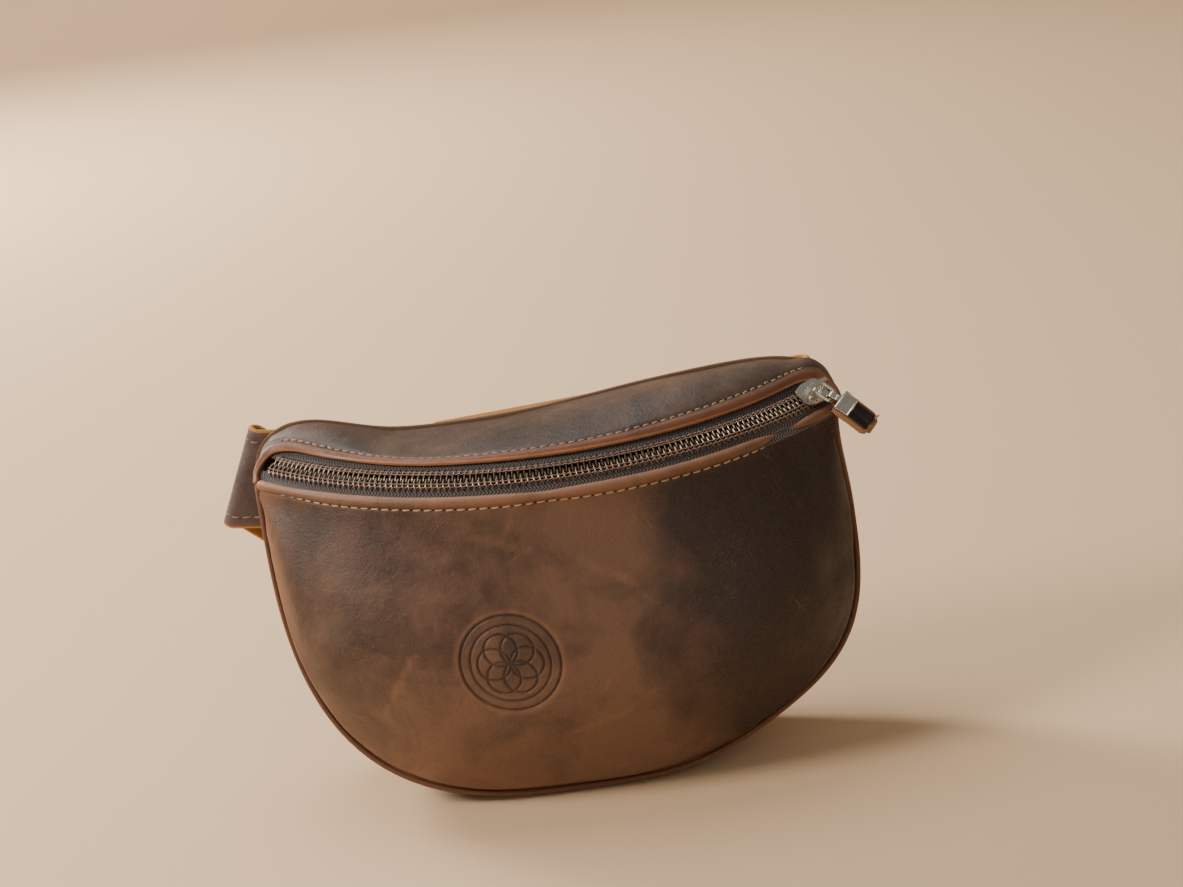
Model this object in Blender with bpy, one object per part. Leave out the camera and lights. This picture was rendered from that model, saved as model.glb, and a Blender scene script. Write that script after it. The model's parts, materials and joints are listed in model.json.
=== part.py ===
"""Half-moon leather waist pack with a curved zipper, a lifting top panel and a folded belt.

Metres, +Z up. The front of the pack faces -Y and the wearer's body is at +Y.
The origin lies on the ground, under the middle of the two zipper ends.
"""
import math

import bmesh
import bpy
import numpy as np
from mathutils import Matrix, Vector

MM = 0.001
X_AXIS = Vector((1, 0, 0))
Y_AXIS = Vector((0, 1, 0))

# Leather, lining and the gap kept between pieces that touch
LEATHER = 1.8 * MM
LINING = 0.7 * MM
GAP = 0.3 * MM

# Zipper: the chain runs on a true arc, in a plane that falls towards the front
ARC_RADIUS = 150 * MM
ARC_CENTRE = Vector((0, 115, 139.8)) * MM
ARC_TILT = math.radians(7)
BAND_TILT = math.radians(33)
BAND_HALF = 10.25 * MM
END_ANGLE = math.radians(42.7)
FIXED_END_ANGLE = math.radians(35.5)
TAPE_THICKNESS = 0.8 * MM
TAPE_INNER = 4.4 * MM
COIL_INNER = 0.9 * MM
COIL_OUTER = 4.1 * MM
COIL_HEIGHT = 2.7 * MM

# Body: half-moon outline, a superellipse below the zipper ends
HALF_WIDTH = 107 * MM
ZIP_END_HEIGHT = 120 * MM
SEAM_HEIGHT = 1.5 * MM
OUTLINE_POWER = 3.0
SEAM_FORWARD = 36 * MM
FRONT_BULGE = 15 * MM
FRONT_REACH = 0.985
FRONT_EDGE_DROP = 1 * MM
GUSSET_BULGE = 2.5 * MM
GUSSET_SAG = 7 * MM
BACK_FACE = 16 * MM
BACK_TOP = 137 * MM
BACK_TOP_HALF = 99 * MM
TOP_CROWN = 3 * MM
LID_HINGE = Vector((0, 14.8, 137)) * MM

# Slider and pull
SLIDER_ANGLE = math.radians(39.7)
SLIDER_LENGTH = 13 * MM
PULL_HINGE_ALONG = 1.6 * MM
PULL_HINGE_OUT = 5.7 * MM
PULL_TURN = math.radians(19)
PULL_DROOP = math.radians(6)
PULL_ROLL = math.radians(12)
LINK_WIRE = 0.7 * MM
LINK_LENGTH = 6.4 * MM
LINK_HALF_WIDTH = 2.5 * MM
TAB_WIDTH = 8.6 * MM
TAB_LENGTH = 15 * MM
TAB_THICKNESS = 2.6 * MM

# Belt
STRAP_WIDTH = 37 * MM
STRAP_THICKNESS = 2 * MM
WING_FACE = 18.6 * MM
RUN_FACE = 24.6 * MM
LEFT_FOLD = Vector((-114, 22.6, 118)) * MM
LEFT_WING_DIRECTION = Vector((-math.cos(math.radians(7)), 0, math.sin(math.radians(7))))
LEFT_FOLD_TILT = math.radians(24)
LEFT_WING_LENGTH = 38 * MM
HEEL_BAR_ALONG = 88 * MM
LOOP_RETURN = 15 * MM
RIGHT_FOLD = Vector((98, 22.6, 114)) * MM
RIGHT_SLOPE = math.radians(3)
RIGHT_WING_LENGTH = 36 * MM
RIGHT_RUN_LENGTH = 138 * MM
RIGHT_RUN_COUNT = 4
RIGHT_RUN_PITCH = 3.4 * MM
HOLE_COUNT = 5
HOLE_PITCH = 22 * MM
HOLE_RADIUS = 2.2 * MM

# Buckle and keeper
BUCKLE_WIRE = 2 * MM
BUCKLE_LENGTH = 32 * MM
BUCKLE_HALF_WIDTH = 22.5 * MM
BUCKLE_CORNER = 3 * MM
PRONG_WIDTH = 4 * MM
PRONG_THICKNESS = 1.6 * MM
KEEPER_ALONG = 46 * MM
KEEPER_LENGTH = 11 * MM
KEEPER_WALL = 1.6 * MM


# ---------------------------------------------------------------- materials

def material(name, colour, roughness, metallic=0.0):
    """A Principled material, made once and then shared."""
    made = bpy.data.materials.get(name)
    if made:
        return made
    made = bpy.data.materials.new(name)
    made.use_nodes = True
    shader = made.node_tree.nodes["Principled BSDF"]
    shader.inputs["Base Color"].default_value = (*colour, 1)
    shader.inputs["Roughness"].default_value = roughness
    shader.inputs["Metallic"].default_value = metallic
    made.diffuse_color = (*colour, 1)
    return made


def body_leather(node):
    return material(node + "_leather", (0.14, 0.07, 0.035), 0.5)


def strap_leather(node):
    return material(node + "_leather", (0.1, 0.045, 0.03), 0.5)


def tape_fabric(node):
    return material(node + "_fabric", (0.06, 0.05, 0.045), 0.85)


def lining_fabric(node):
    return material(node + "_fabric", (0.2, 0.16, 0.12), 0.9)


def bronze(node):
    return material(node + "_bronze", (0.35, 0.28, 0.2), 0.35, 1.0)


def nickel(node):
    return material(node + "_nickel", (0.6, 0.58, 0.55), 0.25, 1.0)


# ---------------------------------------------------------------- mesh tools

def add_object(name, mesh_data, finish, origin=None):
    """Link a world-space mesh as an object whose own origin is at the given point."""
    mesh = mesh_data
    if isinstance(mesh_data, bmesh.types.BMesh):
        bmesh.ops.recalc_face_normals(mesh_data, faces=mesh_data.faces)
        mesh = bpy.data.meshes.new(name)
        mesh_data.to_mesh(mesh)
        mesh_data.free()
    obj = bpy.data.objects.new(name, mesh)
    bpy.context.collection.objects.link(obj)
    mesh.materials.clear()
    mesh.materials.append(finish(name))
    mesh.shade_smooth()
    mesh.set_sharp_from_angle(angle=math.radians(35))
    if origin is not None:
        mesh.transform(Matrix.Translation(-origin))
        obj.location = origin
    return obj


def shell(name, surface, steps_u, steps_v, inset, thickness, finish, origin=None):
    """A sheet of even thickness that follows surface(u, v), with u and v from 0 to 1.

    The sheet's outer face lies inset below the surface, on the side away from its normal.
    """
    grid = np.array([[surface(i / steps_u, j / steps_v)[:] for j in range(steps_v + 1)]
                     for i in range(steps_u + 1)])
    normal = np.cross(np.gradient(grid, axis=0), np.gradient(grid, axis=1))
    normal /= np.linalg.norm(normal, axis=2, keepdims=True)
    bm = bmesh.new()
    layers = []
    for depth in (inset, inset + thickness):
        points = grid - normal * depth
        layers.append([[bm.verts.new(p) for p in row] for row in points])
    outer, inner = layers
    for i in range(steps_u):
        for j in range(steps_v):
            ring = ((i, j), (i + 1, j), (i + 1, j + 1), (i, j + 1))
            bm.faces.new([outer[a][b] for a, b in ring])
            bm.faces.new([inner[a][b] for a, b in reversed(ring)])
    border = [(i, 0) for i in range(steps_u)]
    border += [(steps_u, j) for j in range(steps_v)]
    border += [(i, steps_v) for i in range(steps_u, 0, -1)]
    border += [(0, j) for j in range(steps_v, 0, -1)]
    for (a, b), (c, d) in zip(border, border[1:] + border[:1]):
        bm.faces.new((outer[a][b], inner[a][b], inner[c][d], outer[c][d]))
    return add_object(name, bm, finish, origin)


def prism_mesh(outline, origin, first, second, along, start, end):
    """Extrude a flat outline, given in the first and second directions, from start to end."""
    bm = bmesh.new()
    base = [bm.verts.new(origin + first * a + second * b + along * start) for a, b in outline]
    face = bm.faces.new(base)
    moved = bmesh.ops.extrude_face_region(bm, geom=[face])["geom"]
    top = [item for item in moved if isinstance(item, bmesh.types.BMVert)]
    bmesh.ops.translate(bm, verts=top, vec=along * (end - start))
    bmesh.ops.recalc_face_normals(bm, faces=bm.faces)
    return bm


def prism(name, outline, frame, start, end, finish, origin=None):
    bm = prism_mesh(outline, *frame, start, end)
    return add_object(name, bm, finish, origin)


def combine(obj, bm, operation):
    """Join a helper solid to an object, or cut it out, and apply the result."""
    mesh = bpy.data.meshes.new("helper")
    bm.to_mesh(mesh)
    bm.free()
    mesh.transform(Matrix.Translation(-obj.location))
    helper = bpy.data.objects.new("helper", mesh)
    bpy.context.collection.objects.link(helper)
    helper.location = obj.location
    step = obj.modifiers.new("helper", "BOOLEAN")
    step.operation = operation
    step.object = helper
    bpy.context.view_layer.update()
    result = bpy.data.meshes.new_from_object(obj.evaluated_get(bpy.context.evaluated_depsgraph_get()))
    obj.modifiers.remove(step)
    finish = obj.data.materials[0]
    obj.data = result
    result.materials.clear()
    result.materials.append(finish)
    bpy.data.objects.remove(helper)


def arc_points(centre, radius, start, end, steps):
    """Points on a flat arc, with its angles in degrees."""
    angles = [math.radians(start + (end - start) * k / steps) for k in range(steps + 1)]
    return [(centre[0] + radius * math.cos(a), centre[1] + radius * math.sin(a)) for a in angles]


def ribbon_outline(path, thickness):
    """The outline of a bent strip whose middle line is the path."""
    points = np.array(path)
    heading = np.gradient(points, axis=0)
    heading /= np.linalg.norm(heading, axis=1, keepdims=True)
    side = np.column_stack([-heading[:, 1], heading[:, 0]]) * thickness / 2
    return [tuple(p) for p in points + side] + [tuple(p) for p in (points - side)[::-1]]


def box_outline(low_a, high_a, low_b, high_b):
    return [(low_a, low_b), (high_a, low_b), (high_a, high_b), (low_a, high_b)]


def wire_loop(name, half_a, half_b, corner, wire, frame, finish, origin):
    """A closed rounded rectangle of round wire, centred on the frame's origin."""
    centre, first, second = frame
    path = []
    for quadrant, (sign_a, sign_b) in enumerate(((1, 1), (-1, 1), (-1, -1), (1, -1))):
        bend = (sign_a * (half_a - corner), sign_b * (half_b - corner))
        path += arc_points(bend, corner, quadrant * 90, quadrant * 90 + 90, 3)
    across = first.cross(second)
    bm = bmesh.new()
    rings = []
    sides = 8
    for index, (a, b) in enumerate(path):
        before = path[index - 1]
        after = path[(index + 1) % len(path)]
        heading = (first * (after[0] - before[0]) + second * (after[1] - before[1])).normalized()
        outward = heading.cross(across)
        middle = centre + first * a + second * b
        turns = [2 * math.pi * k / sides for k in range(sides)]
        rings.append([bm.verts.new(middle + (outward * math.cos(t) + across * math.sin(t)) * wire)
                      for t in turns])
    for ring, following in zip(rings, rings[1:] + rings[:1]):
        for k in range(sides):
            n = (k + 1) % sides
            bm.faces.new((ring[k], ring[n], following[n], following[k]))
    return add_object(name, bm, finish, origin)


# ---------------------------------------------------------------- shared geometry

ARC_BACK = Vector((0, math.cos(ARC_TILT), math.sin(ARC_TILT)))
ARC_NORMAL = Vector((0, -math.sin(ARC_TILT), math.cos(ARC_TILT)))


def zip_frame(angle):
    """A point on the chain's middle with its tangent, the way across (inwards) and outwards."""
    radial = X_AXIS * math.sin(angle) - ARC_BACK * math.cos(angle)
    tangent = X_AXIS * math.cos(angle) + ARC_BACK * math.sin(angle)
    across = ARC_NORMAL * math.sin(BAND_TILT) - radial * math.cos(BAND_TILT)
    outward = ARC_NORMAL * math.cos(BAND_TILT) + radial * math.sin(BAND_TILT)
    return ARC_CENTRE + radial * ARC_RADIUS, tangent, across, outward


def band_point(angle, across_by, out_by=0.0):
    point, _, across, outward = zip_frame(angle)
    return point + across * across_by + outward * out_by


def outline_point(side, half_width, height, foot):
    """A point on the half-moon below the zipper ends, with side from -1, left, to 1, right."""
    turn = math.pi / 2 * (1 - side)
    power = 2 / OUTLINE_POWER
    across = math.copysign(abs(math.cos(turn)) ** power, math.cos(turn))
    drop = abs(math.sin(turn)) ** power
    return half_width * across, foot + height * (1 - drop), drop


def seam_point(side):
    """The seam between the front panel and the gusset."""
    x, z, drop = outline_point(side, HALF_WIDTH, ZIP_END_HEIGHT - SEAM_HEIGHT, SEAM_HEIGHT)
    return Vector((x, -SEAM_FORWARD * drop ** 1.5, z))


def front_surface(u, v):
    side = (1 - 2 * u) * FRONT_REACH
    upper = band_point(side * END_ANGLE, -BAND_HALF - GAP, -FRONT_EDGE_DROP)
    point = upper.lerp(seam_point(side), v)
    swell = math.sin(math.pi * v ** 1.35) * (1 - side ** 4)
    return point - Y_AXIS * (FRONT_BULGE * swell)


def gusset_surface(u, v):
    side = 1 - 2 * u
    seam = seam_point(side) + Y_AXIS * (LEATHER + 2 * GAP)
    x, z, _ = outline_point(side, HALF_WIDTH - MM, ZIP_END_HEIGHT - SEAM_HEIGHT, SEAM_HEIGHT)
    back = Vector((x, BACK_FACE - GAP, z))
    point = seam.lerp(back, v)
    swell = math.sin(math.pi * v)
    steep = abs(x / HALF_WIDTH) ** (OUTLINE_POWER - 1)
    point.x += math.copysign(steep * GUSSET_BULGE * swell, x)
    point.z -= (1 - steep) * GUSSET_SAG * swell
    point.z = max(point.z, 0.0)
    return point


def top_surface(u, v):
    side = 2 * u - 1
    front = band_point(side * END_ANGLE, BAND_HALF)
    back = Vector((side * BACK_TOP_HALF, LID_HINGE.y, BACK_TOP))
    point = front.lerp(back, v)
    point.z += TOP_CROWN * math.sin(math.pi * v) * (1 - side ** 2)
    return point


# ---------------------------------------------------------------- the pack's body

def make_front_panel():
    shell("front_panel", front_surface, 26, 9, 0, LEATHER, body_leather)


def make_gusset():
    shell("bottom_gusset", gusset_surface, 36, 8, 0, LEATHER, body_leather)


def back_outline(margin, top):
    """The back panel's outline, as x and z pairs, drawn in by a margin."""
    steps = 30
    points = []
    for k in range(steps + 1):
        x, z, _ = outline_point(1 - 2 * k / steps, HALF_WIDTH + MM - margin,
                                ZIP_END_HEIGHT - SEAM_HEIGHT - margin, SEAM_HEIGHT + margin)
        points.append((x, z))
    half_top = BACK_TOP_HALF - margin
    return points + [(-half_top, top), (half_top, top)]


def make_back_panel():
    frame = (Vector((0, 0, 0)), X_AXIS, Vector((0, 0, 1)), Y_AXIS)
    prism("back_panel", back_outline(0, BACK_TOP), frame, BACK_FACE + GAP,
          BACK_FACE + GAP + STRAP_THICKNESS, body_leather)


def make_lining():
    """Cotton lining behind the front panel, over the gusset and against the back panel."""
    clear = LEATHER + 2 * GAP
    shell("lining_front", lambda u, v: front_surface(0.06 + 0.88 * u, 0.03 + 0.87 * v),
          22, 7, clear, LINING, lining_fabric)
    shell("lining_gusset", lambda u, v: gusset_surface(0.04 + 0.92 * u, 0.14 + 0.72 * v),
          30, 3, clear, LINING, lining_fabric)
    frame = (Vector((0, 0, 0)), X_AXIS, Vector((0, 0, 1)), Y_AXIS)
    inner = back_outline(9 * MM, BACK_TOP - 12 * MM)
    prism("lining_back", inner, frame, BACK_FACE - GAP - LINING, BACK_FACE - GAP, lining_fabric)


def make_top_panel():
    shell("top_panel", top_surface, 24, 6, 0, LEATHER, body_leather, LID_HINGE)


# ---------------------------------------------------------------- zipper

def band_strip(name, start, end, near, far, thickness, steps, finish, origin=None):
    """A strip along the zipper band, between two angles and two distances from the chain."""
    low, high = sorted((near, far))

    def surface(u, v):
        angle = start + (end - start) * u
        return band_point(angle, low + (high - low) * v, thickness / 2)

    shell(name, surface, steps, 1, 0, thickness, finish, origin)


def make_zipper():
    """The lower side is fixed. The upper side lifts with the top panel, but not its sewn ends."""
    tape_outer = BAND_HALF - GAP
    full = END_ANGLE - math.radians(0.3)
    break_angle = math.radians(0.15)
    band_strip("lower_tape", -full, full, -tape_outer, -TAPE_INNER, TAPE_THICKNESS, 24, tape_fabric)
    band_strip("lower_coil", -full, full, -COIL_OUTER, -COIL_INNER, COIL_HEIGHT, 24, bronze)
    for label, start, end, steps, origin in (
            ("", -FIXED_END_ANGLE, FIXED_END_ANGLE, 20, LID_HINGE),
            ("_left_end", -full, -FIXED_END_ANGLE - break_angle, 3, None),
            ("_right_end", FIXED_END_ANGLE + break_angle, full, 3, None)):
        band_strip("upper_tape" + label, start, end, TAPE_INNER, tape_outer, TAPE_THICKNESS,
                   steps, tape_fabric, origin)
        band_strip("upper_coil" + label, start, end, COIL_INNER, COIL_OUTER, COIL_HEIGHT,
                   steps, bronze, origin)


def make_slider():
    """Two plates joined by a web between the coils, with lips over the tape and a bridge on top."""
    centre, tangent, across, outward = zip_frame(SLIDER_ANGLE)
    web = 0.5 * MM
    lip = 4.6 * MM
    edge = 5.5 * MM
    mouth = 0.9 * MM
    plate = 2 * MM
    face = 3.2 * MM
    quarter = [(web, plate), (lip, plate), (lip, mouth), (edge, mouth), (edge, face)]
    half = quarter[::-1] + [(a, -b) for a, b in quarter]
    outline = [(a, b) for a, b in half] + [(-a, b) for a, b in half[::-1]]
    obj = prism("slider_body", outline, (centre, across, outward, tangent),
                -SLIDER_LENGTH / 2, SLIDER_LENGTH / 2, nickel)
    bar_low = 7.1 * MM
    bar_high = 8.3 * MM
    bridge = [(-5 * MM, face - 0.5 * MM), (-3.4 * MM, face - 0.5 * MM), (-2.4 * MM, bar_low),
              (5.6 * MM, bar_low), (5.6 * MM, face - 0.5 * MM), (6.5 * MM, face - 0.5 * MM),
              (6.5 * MM, bar_high - 0.8 * MM), (5.5 * MM, bar_high), (-2.8 * MM, bar_high)]
    bridge_half = 0.8 * MM
    combine(obj, prism_mesh(bridge, centre, tangent, outward, across, -bridge_half, bridge_half),
            "UNION")
    pivot = ARC_CENTRE
    obj.data.transform(Matrix.Translation(-pivot))
    obj.location = pivot


def pull_frame():
    """The pull's hinge point, the way it points, its width direction and its thickness direction."""
    centre, tangent, across, outward = zip_frame(SLIDER_ANGLE)
    hinge = centre + tangent * PULL_HINGE_ALONG + outward * PULL_HINGE_OUT
    level = tangent * math.sin(PULL_TURN) - across * math.cos(PULL_TURN)
    along = level * math.cos(PULL_DROOP) - outward * math.sin(PULL_DROOP)
    bar = tangent * math.cos(PULL_TURN) + across * math.sin(PULL_TURN)
    width = bar * math.cos(PULL_ROLL) + along.cross(bar) * math.sin(PULL_ROLL)
    return hinge, along, width, along.cross(width)


def make_pull():
    """A wire link through the bridge, then a folded ferrule that grips a leather tab."""
    hinge, along, width, thick = pull_frame()
    middle = hinge + along * (LINK_LENGTH / 2)
    wire_loop("pull_link", LINK_LENGTH / 2, LINK_HALF_WIDTH, 0.8 * MM, LINK_WIRE,
              (middle, along, width), nickel, hinge)
    far = hinge + along * LINK_LENGTH
    wall = 0.6 * MM
    eye = 1.05 * MM + wall / 2
    grip = TAB_THICKNESS / 2 + GAP + wall / 2
    plate_start = 2.6 * MM
    plate_end = 8.6 * MM
    path = [(plate_end, grip), (plate_start, grip)] + arc_points((0, 0), eye, 60, 300, 8)
    path += [(plate_start, -grip), (plate_end, -grip)]
    outline = ribbon_outline(path, wall)
    eye_half = 1.3 * MM
    obj = prism("pull_ferrule", outline, (far, along, thick, width), -eye_half, eye_half,
                nickel, far)
    for sign in (1, -1):
        inner = sign * (grip - wall / 2)
        outer = sign * (grip + wall / 2)
        plate = box_outline(plate_start, plate_end, min(inner, outer), max(inner, outer))
        combine(obj, prism_mesh(plate, far, along, thick, width, -TAB_WIDTH / 2, TAB_WIDTH / 2),
                "UNION")
    tab = box_outline(plate_start + GAP, plate_start + TAB_LENGTH,
                      -TAB_THICKNESS / 2, TAB_THICKNESS / 2)
    prism("pull_tab", tab, (far, along, thick, width), -TAB_WIDTH / 2, TAB_WIDTH / 2,
          strap_leather, far)


# ---------------------------------------------------------------- belt

def fold_corners(fold, direction, line):
    """Where a strap's two edges cross the slanted line on which it is folded."""
    across = direction.cross(Y_AXIS)
    reach = STRAP_WIDTH / 2 / line.dot(across)
    return fold - line * reach, fold + line * reach, across


def flat_strap(name, corners, face, origin=None):
    """A flat piece of strap with the given corners, its near face at the given depth."""
    outline = [(c.x, c.z) for c in corners]
    frame = (Vector((0, 0, 0)), X_AXIS, Vector((0, 0, 1)), Y_AXIS)
    return prism(name, outline, frame, face, face + STRAP_THICKNESS, strap_leather, origin)


def left_fold_line():
    return Vector((-math.sin(LEFT_FOLD_TILT), 0, -math.cos(LEFT_FOLD_TILT)))


def left_run_direction():
    """The belt's way after its fold: the wing's way, mirrored in the fold line."""
    line = left_fold_line()
    return (line * (2 * LEFT_WING_DIRECTION.dot(line)) - LEFT_WING_DIRECTION).normalized()


def make_left_wing():
    line = left_fold_line()
    one, other, across = fold_corners(LEFT_FOLD, LEFT_WING_DIRECTION, line)
    root = LEFT_FOLD - LEFT_WING_DIRECTION * LEFT_WING_LENGTH
    side = across * (STRAP_WIDTH / 2)
    flat_strap("left_wing", (one, other, root + side, root - side), WING_FACE)


def heel_bar():
    depth = RUN_FACE + STRAP_THICKNESS + BUCKLE_WIRE + 0.4 * MM
    point = LEFT_FOLD + left_run_direction() * HEEL_BAR_ALONG
    return Vector((point.x, depth, point.z))


def make_left_run():
    """The buckle end: it runs down behind the pack, turns round the heel bar and comes back."""
    direction = left_run_direction()
    across = direction.cross(Y_AXIS)
    bar = heel_bar()
    middle = RUN_FACE + STRAP_THICKNESS / 2
    turn = bar.y - middle
    path = [(-14 * MM, middle), (0.04, middle), (HEEL_BAR_ALONG - 2 * MM, middle)]
    path += arc_points((HEEL_BAR_ALONG, bar.y), turn, -80, 100, 10)
    path.append((HEEL_BAR_ALONG - LOOP_RETURN, middle + STRAP_THICKNESS + GAP))
    start = Vector((LEFT_FOLD.x, 0, LEFT_FOLD.z))
    bm = prism_mesh(ribbon_outline(path, STRAP_THICKNESS), start, direction, Y_AXIS, across,
                    -STRAP_WIDTH / 2, STRAP_WIDTH / 2)
    outward = left_fold_line().cross(Y_AXIS)
    if outward.dot(direction) > 0:
        outward = -outward
    cut = bmesh.ops.bisect_plane(bm, geom=bm.verts[:] + bm.edges[:] + bm.faces[:],
                                 plane_co=LEFT_FOLD, plane_no=outward, clear_outer=True)
    rim = [item for item in cut["geom_cut"] if isinstance(item, bmesh.types.BMEdge)]
    bmesh.ops.edgeloop_fill(bm, edges=rim)
    obj = add_object("left_strap", bm, strap_leather, LEFT_FOLD)
    slot_half = PRONG_WIDTH / 2 + 0.6 * MM
    slot = box_outline(HEEL_BAR_ALONG - 9 * MM, HEEL_BAR_ALONG + 8 * MM, 20 * MM, 40 * MM)
    combine(obj, prism_mesh(slot, start, direction, Y_AXIS, across, -slot_half, slot_half),
            "DIFFERENCE")


def make_buckle():
    direction = left_run_direction()
    across = direction.cross(Y_AXIS)
    bar = heel_bar()
    middle = bar + direction * (BUCKLE_LENGTH / 2)
    wire_loop("buckle_frame", BUCKLE_LENGTH / 2, BUCKLE_HALF_WIDTH, BUCKLE_CORNER, BUCKLE_WIRE,
              (middle, direction, across), bronze, bar)
    radius = BUCKLE_WIRE + 0.4 * MM + PRONG_THICKNESS / 2
    path = arc_points((0, 0), radius, 380, 90, 14)
    path += [(BUCKLE_LENGTH * 0.5, radius), (BUCKLE_LENGTH + 3 * MM, radius)]
    prism("buckle_prong", ribbon_outline(path, PRONG_THICKNESS),
          (bar, direction, Y_AXIS, across), -PRONG_WIDTH / 2, PRONG_WIDTH / 2, bronze, bar)


def make_keeper():
    """A leather loop that slides on the buckle end of the belt."""
    direction = left_run_direction()
    across = direction.cross(Y_AXIS)
    low = RUN_FACE - 0.5 * MM
    high = RUN_FACE + 2 * STRAP_THICKNESS + 1.3 * MM
    half = STRAP_WIDTH / 2 + 0.5 * MM
    start = Vector((LEFT_FOLD.x, 0, LEFT_FOLD.z)) + direction * (KEEPER_ALONG - KEEPER_LENGTH / 2)
    outer = box_outline(-half - KEEPER_WALL, half + KEEPER_WALL, low - KEEPER_WALL,
                        high + KEEPER_WALL)
    place = start + Y_AXIS * RUN_FACE
    obj = prism("belt_keeper", outer, (start, across, Y_AXIS, direction), 0, KEEPER_LENGTH,
                strap_leather, place)
    inner = box_outline(-half, half, low, high)
    combine(obj, prism_mesh(inner, start, across, Y_AXIS, direction, -MM, KEEPER_LENGTH + MM),
            "DIFFERENCE")


def right_direction():
    return Vector((math.cos(RIGHT_SLOPE), 0, math.sin(RIGHT_SLOPE)))


def make_right_wing():
    direction = right_direction()
    side = direction.cross(Y_AXIS) * (STRAP_WIDTH / 2)
    root = RIGHT_FOLD - direction * RIGHT_WING_LENGTH
    corners = (RIGHT_FOLD + side, RIGHT_FOLD - side, root - side, root + side)
    flat_strap("right_wing", corners, WING_FACE)


def right_fold_axis(index):
    """The point on the fold before the given run of the right belt."""
    if index == 0:
        return RIGHT_FOLD.copy()
    point = RIGHT_FOLD.copy()
    if index % 2:
        point -= right_direction() * RIGHT_RUN_LENGTH
    point.y = RUN_FACE + STRAP_THICKNESS / 2 + (index - 0.5) * RIGHT_RUN_PITCH
    return point


def make_right_runs():
    """The tip end, folded to and fro behind the pack, with punched holes in its last run."""
    direction = right_direction()
    across = direction.cross(Y_AXIS)
    half = STRAP_WIDTH / 2
    tip_reach = 14 * MM
    for index in range(RIGHT_RUN_COUNT):
        face = RUN_FACE + index * RIGHT_RUN_PITCH
        last = index == RIGHT_RUN_COUNT - 1
        frame = (RIGHT_FOLD - Y_AXIS * RIGHT_FOLD.y, direction, across, Y_AXIS)
        outline = box_outline(-RIGHT_RUN_LENGTH, 0, -half, half)
        if last:
            shoulder = -tip_reach
            outline = [(-RIGHT_RUN_LENGTH, half), (-RIGHT_RUN_LENGTH, -half), (shoulder, -half),
                       (shoulder / 3, -half * 0.6), (0, -half * 0.15), (0, half * 0.15),
                       (shoulder / 3, half * 0.6), (shoulder, half)]
        obj = prism(f"right_strap_{index + 1}", outline, frame, face, face + STRAP_THICKNESS,
                    strap_leather, right_fold_axis(index))
        if last:
            for k in range(HOLE_COUNT):
                centre = (-tip_reach - 16 * MM - k * HOLE_PITCH, 0)
                hole = arc_points(centre, HOLE_RADIUS, 0, 330, 11)
                combine(obj, prism_mesh(hole, *frame, face - MM, face + STRAP_THICKNESS + MM),
                        "DIFFERENCE")


def main():
    for obj in list(bpy.data.objects):
        bpy.data.objects.remove(obj)
    make_front_panel()
    make_gusset()
    make_back_panel()
    make_lining()
    make_top_panel()
    make_zipper()
    make_slider()
    make_pull()
    make_left_wing()
    make_left_run()
    make_buckle()
    make_keeper()
    make_right_wing()
    make_right_runs()


main()
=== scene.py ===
import json
import math
import random

import bmesh
import bpy
import numpy as np
from mathutils import Matrix, Vector


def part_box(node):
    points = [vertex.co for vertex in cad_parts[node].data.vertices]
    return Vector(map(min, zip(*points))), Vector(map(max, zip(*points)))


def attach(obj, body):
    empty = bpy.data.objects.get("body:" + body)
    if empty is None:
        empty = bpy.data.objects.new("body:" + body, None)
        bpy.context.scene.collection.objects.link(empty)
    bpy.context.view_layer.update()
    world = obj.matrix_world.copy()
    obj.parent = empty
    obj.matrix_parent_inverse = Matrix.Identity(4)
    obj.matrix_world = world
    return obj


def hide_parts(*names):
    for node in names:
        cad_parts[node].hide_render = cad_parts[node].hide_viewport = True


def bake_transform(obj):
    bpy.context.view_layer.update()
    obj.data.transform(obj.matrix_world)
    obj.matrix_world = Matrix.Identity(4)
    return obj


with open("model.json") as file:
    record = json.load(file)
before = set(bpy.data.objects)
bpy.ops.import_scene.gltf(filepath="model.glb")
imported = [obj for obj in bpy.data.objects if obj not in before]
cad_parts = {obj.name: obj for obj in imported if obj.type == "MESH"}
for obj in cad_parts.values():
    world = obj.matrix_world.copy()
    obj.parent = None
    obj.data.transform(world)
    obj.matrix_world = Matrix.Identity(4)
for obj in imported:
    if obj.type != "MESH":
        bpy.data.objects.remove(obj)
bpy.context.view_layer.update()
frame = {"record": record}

MM = 0.001
JOINTS = {joint["name"]: joint for joint in frame["record"]["behaviour"]["joints"]}
X_AXIS = np.array([1.0, 0.0, 0.0])
Y_AXIS = np.array([0.0, 1.0, 0.0])

# Zipper arc, as in the CAD model
ARC_CENTRE = np.array(JOINTS["zipper_slide"]["pos_m"])
ARC_NORMAL = np.array(JOINTS["zipper_slide"]["axis"])
ARC_BACK = np.cross(ARC_NORMAL, X_AXIS)
ARC_RADIUS = 150 * MM
BAND_TILT = math.radians(33)
BAND_HALF = 10.25 * MM
END_ANGLE = math.radians(42.7)
SLIDER_ANGLE = math.radians(39.7)
TOOTH_PITCH = 2.1 * MM

# Body
HALF_WIDTH = 107 * MM
ZIP_END_HEIGHT = 120 * MM
SEAM_HEIGHT = 1.5 * MM
OUTLINE_POWER = 3.0
SEAM_FORWARD = 36 * MM
FRONT_BULGE = 15 * MM
BACK_FACE = 16 * MM
LEATHER = 1.8 * MM
EMBLEM_X = -22.7 * MM
EMBLEM_Z = 60.5 * MM
EMBLEM_RADIUS = 17.5 * MM

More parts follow.
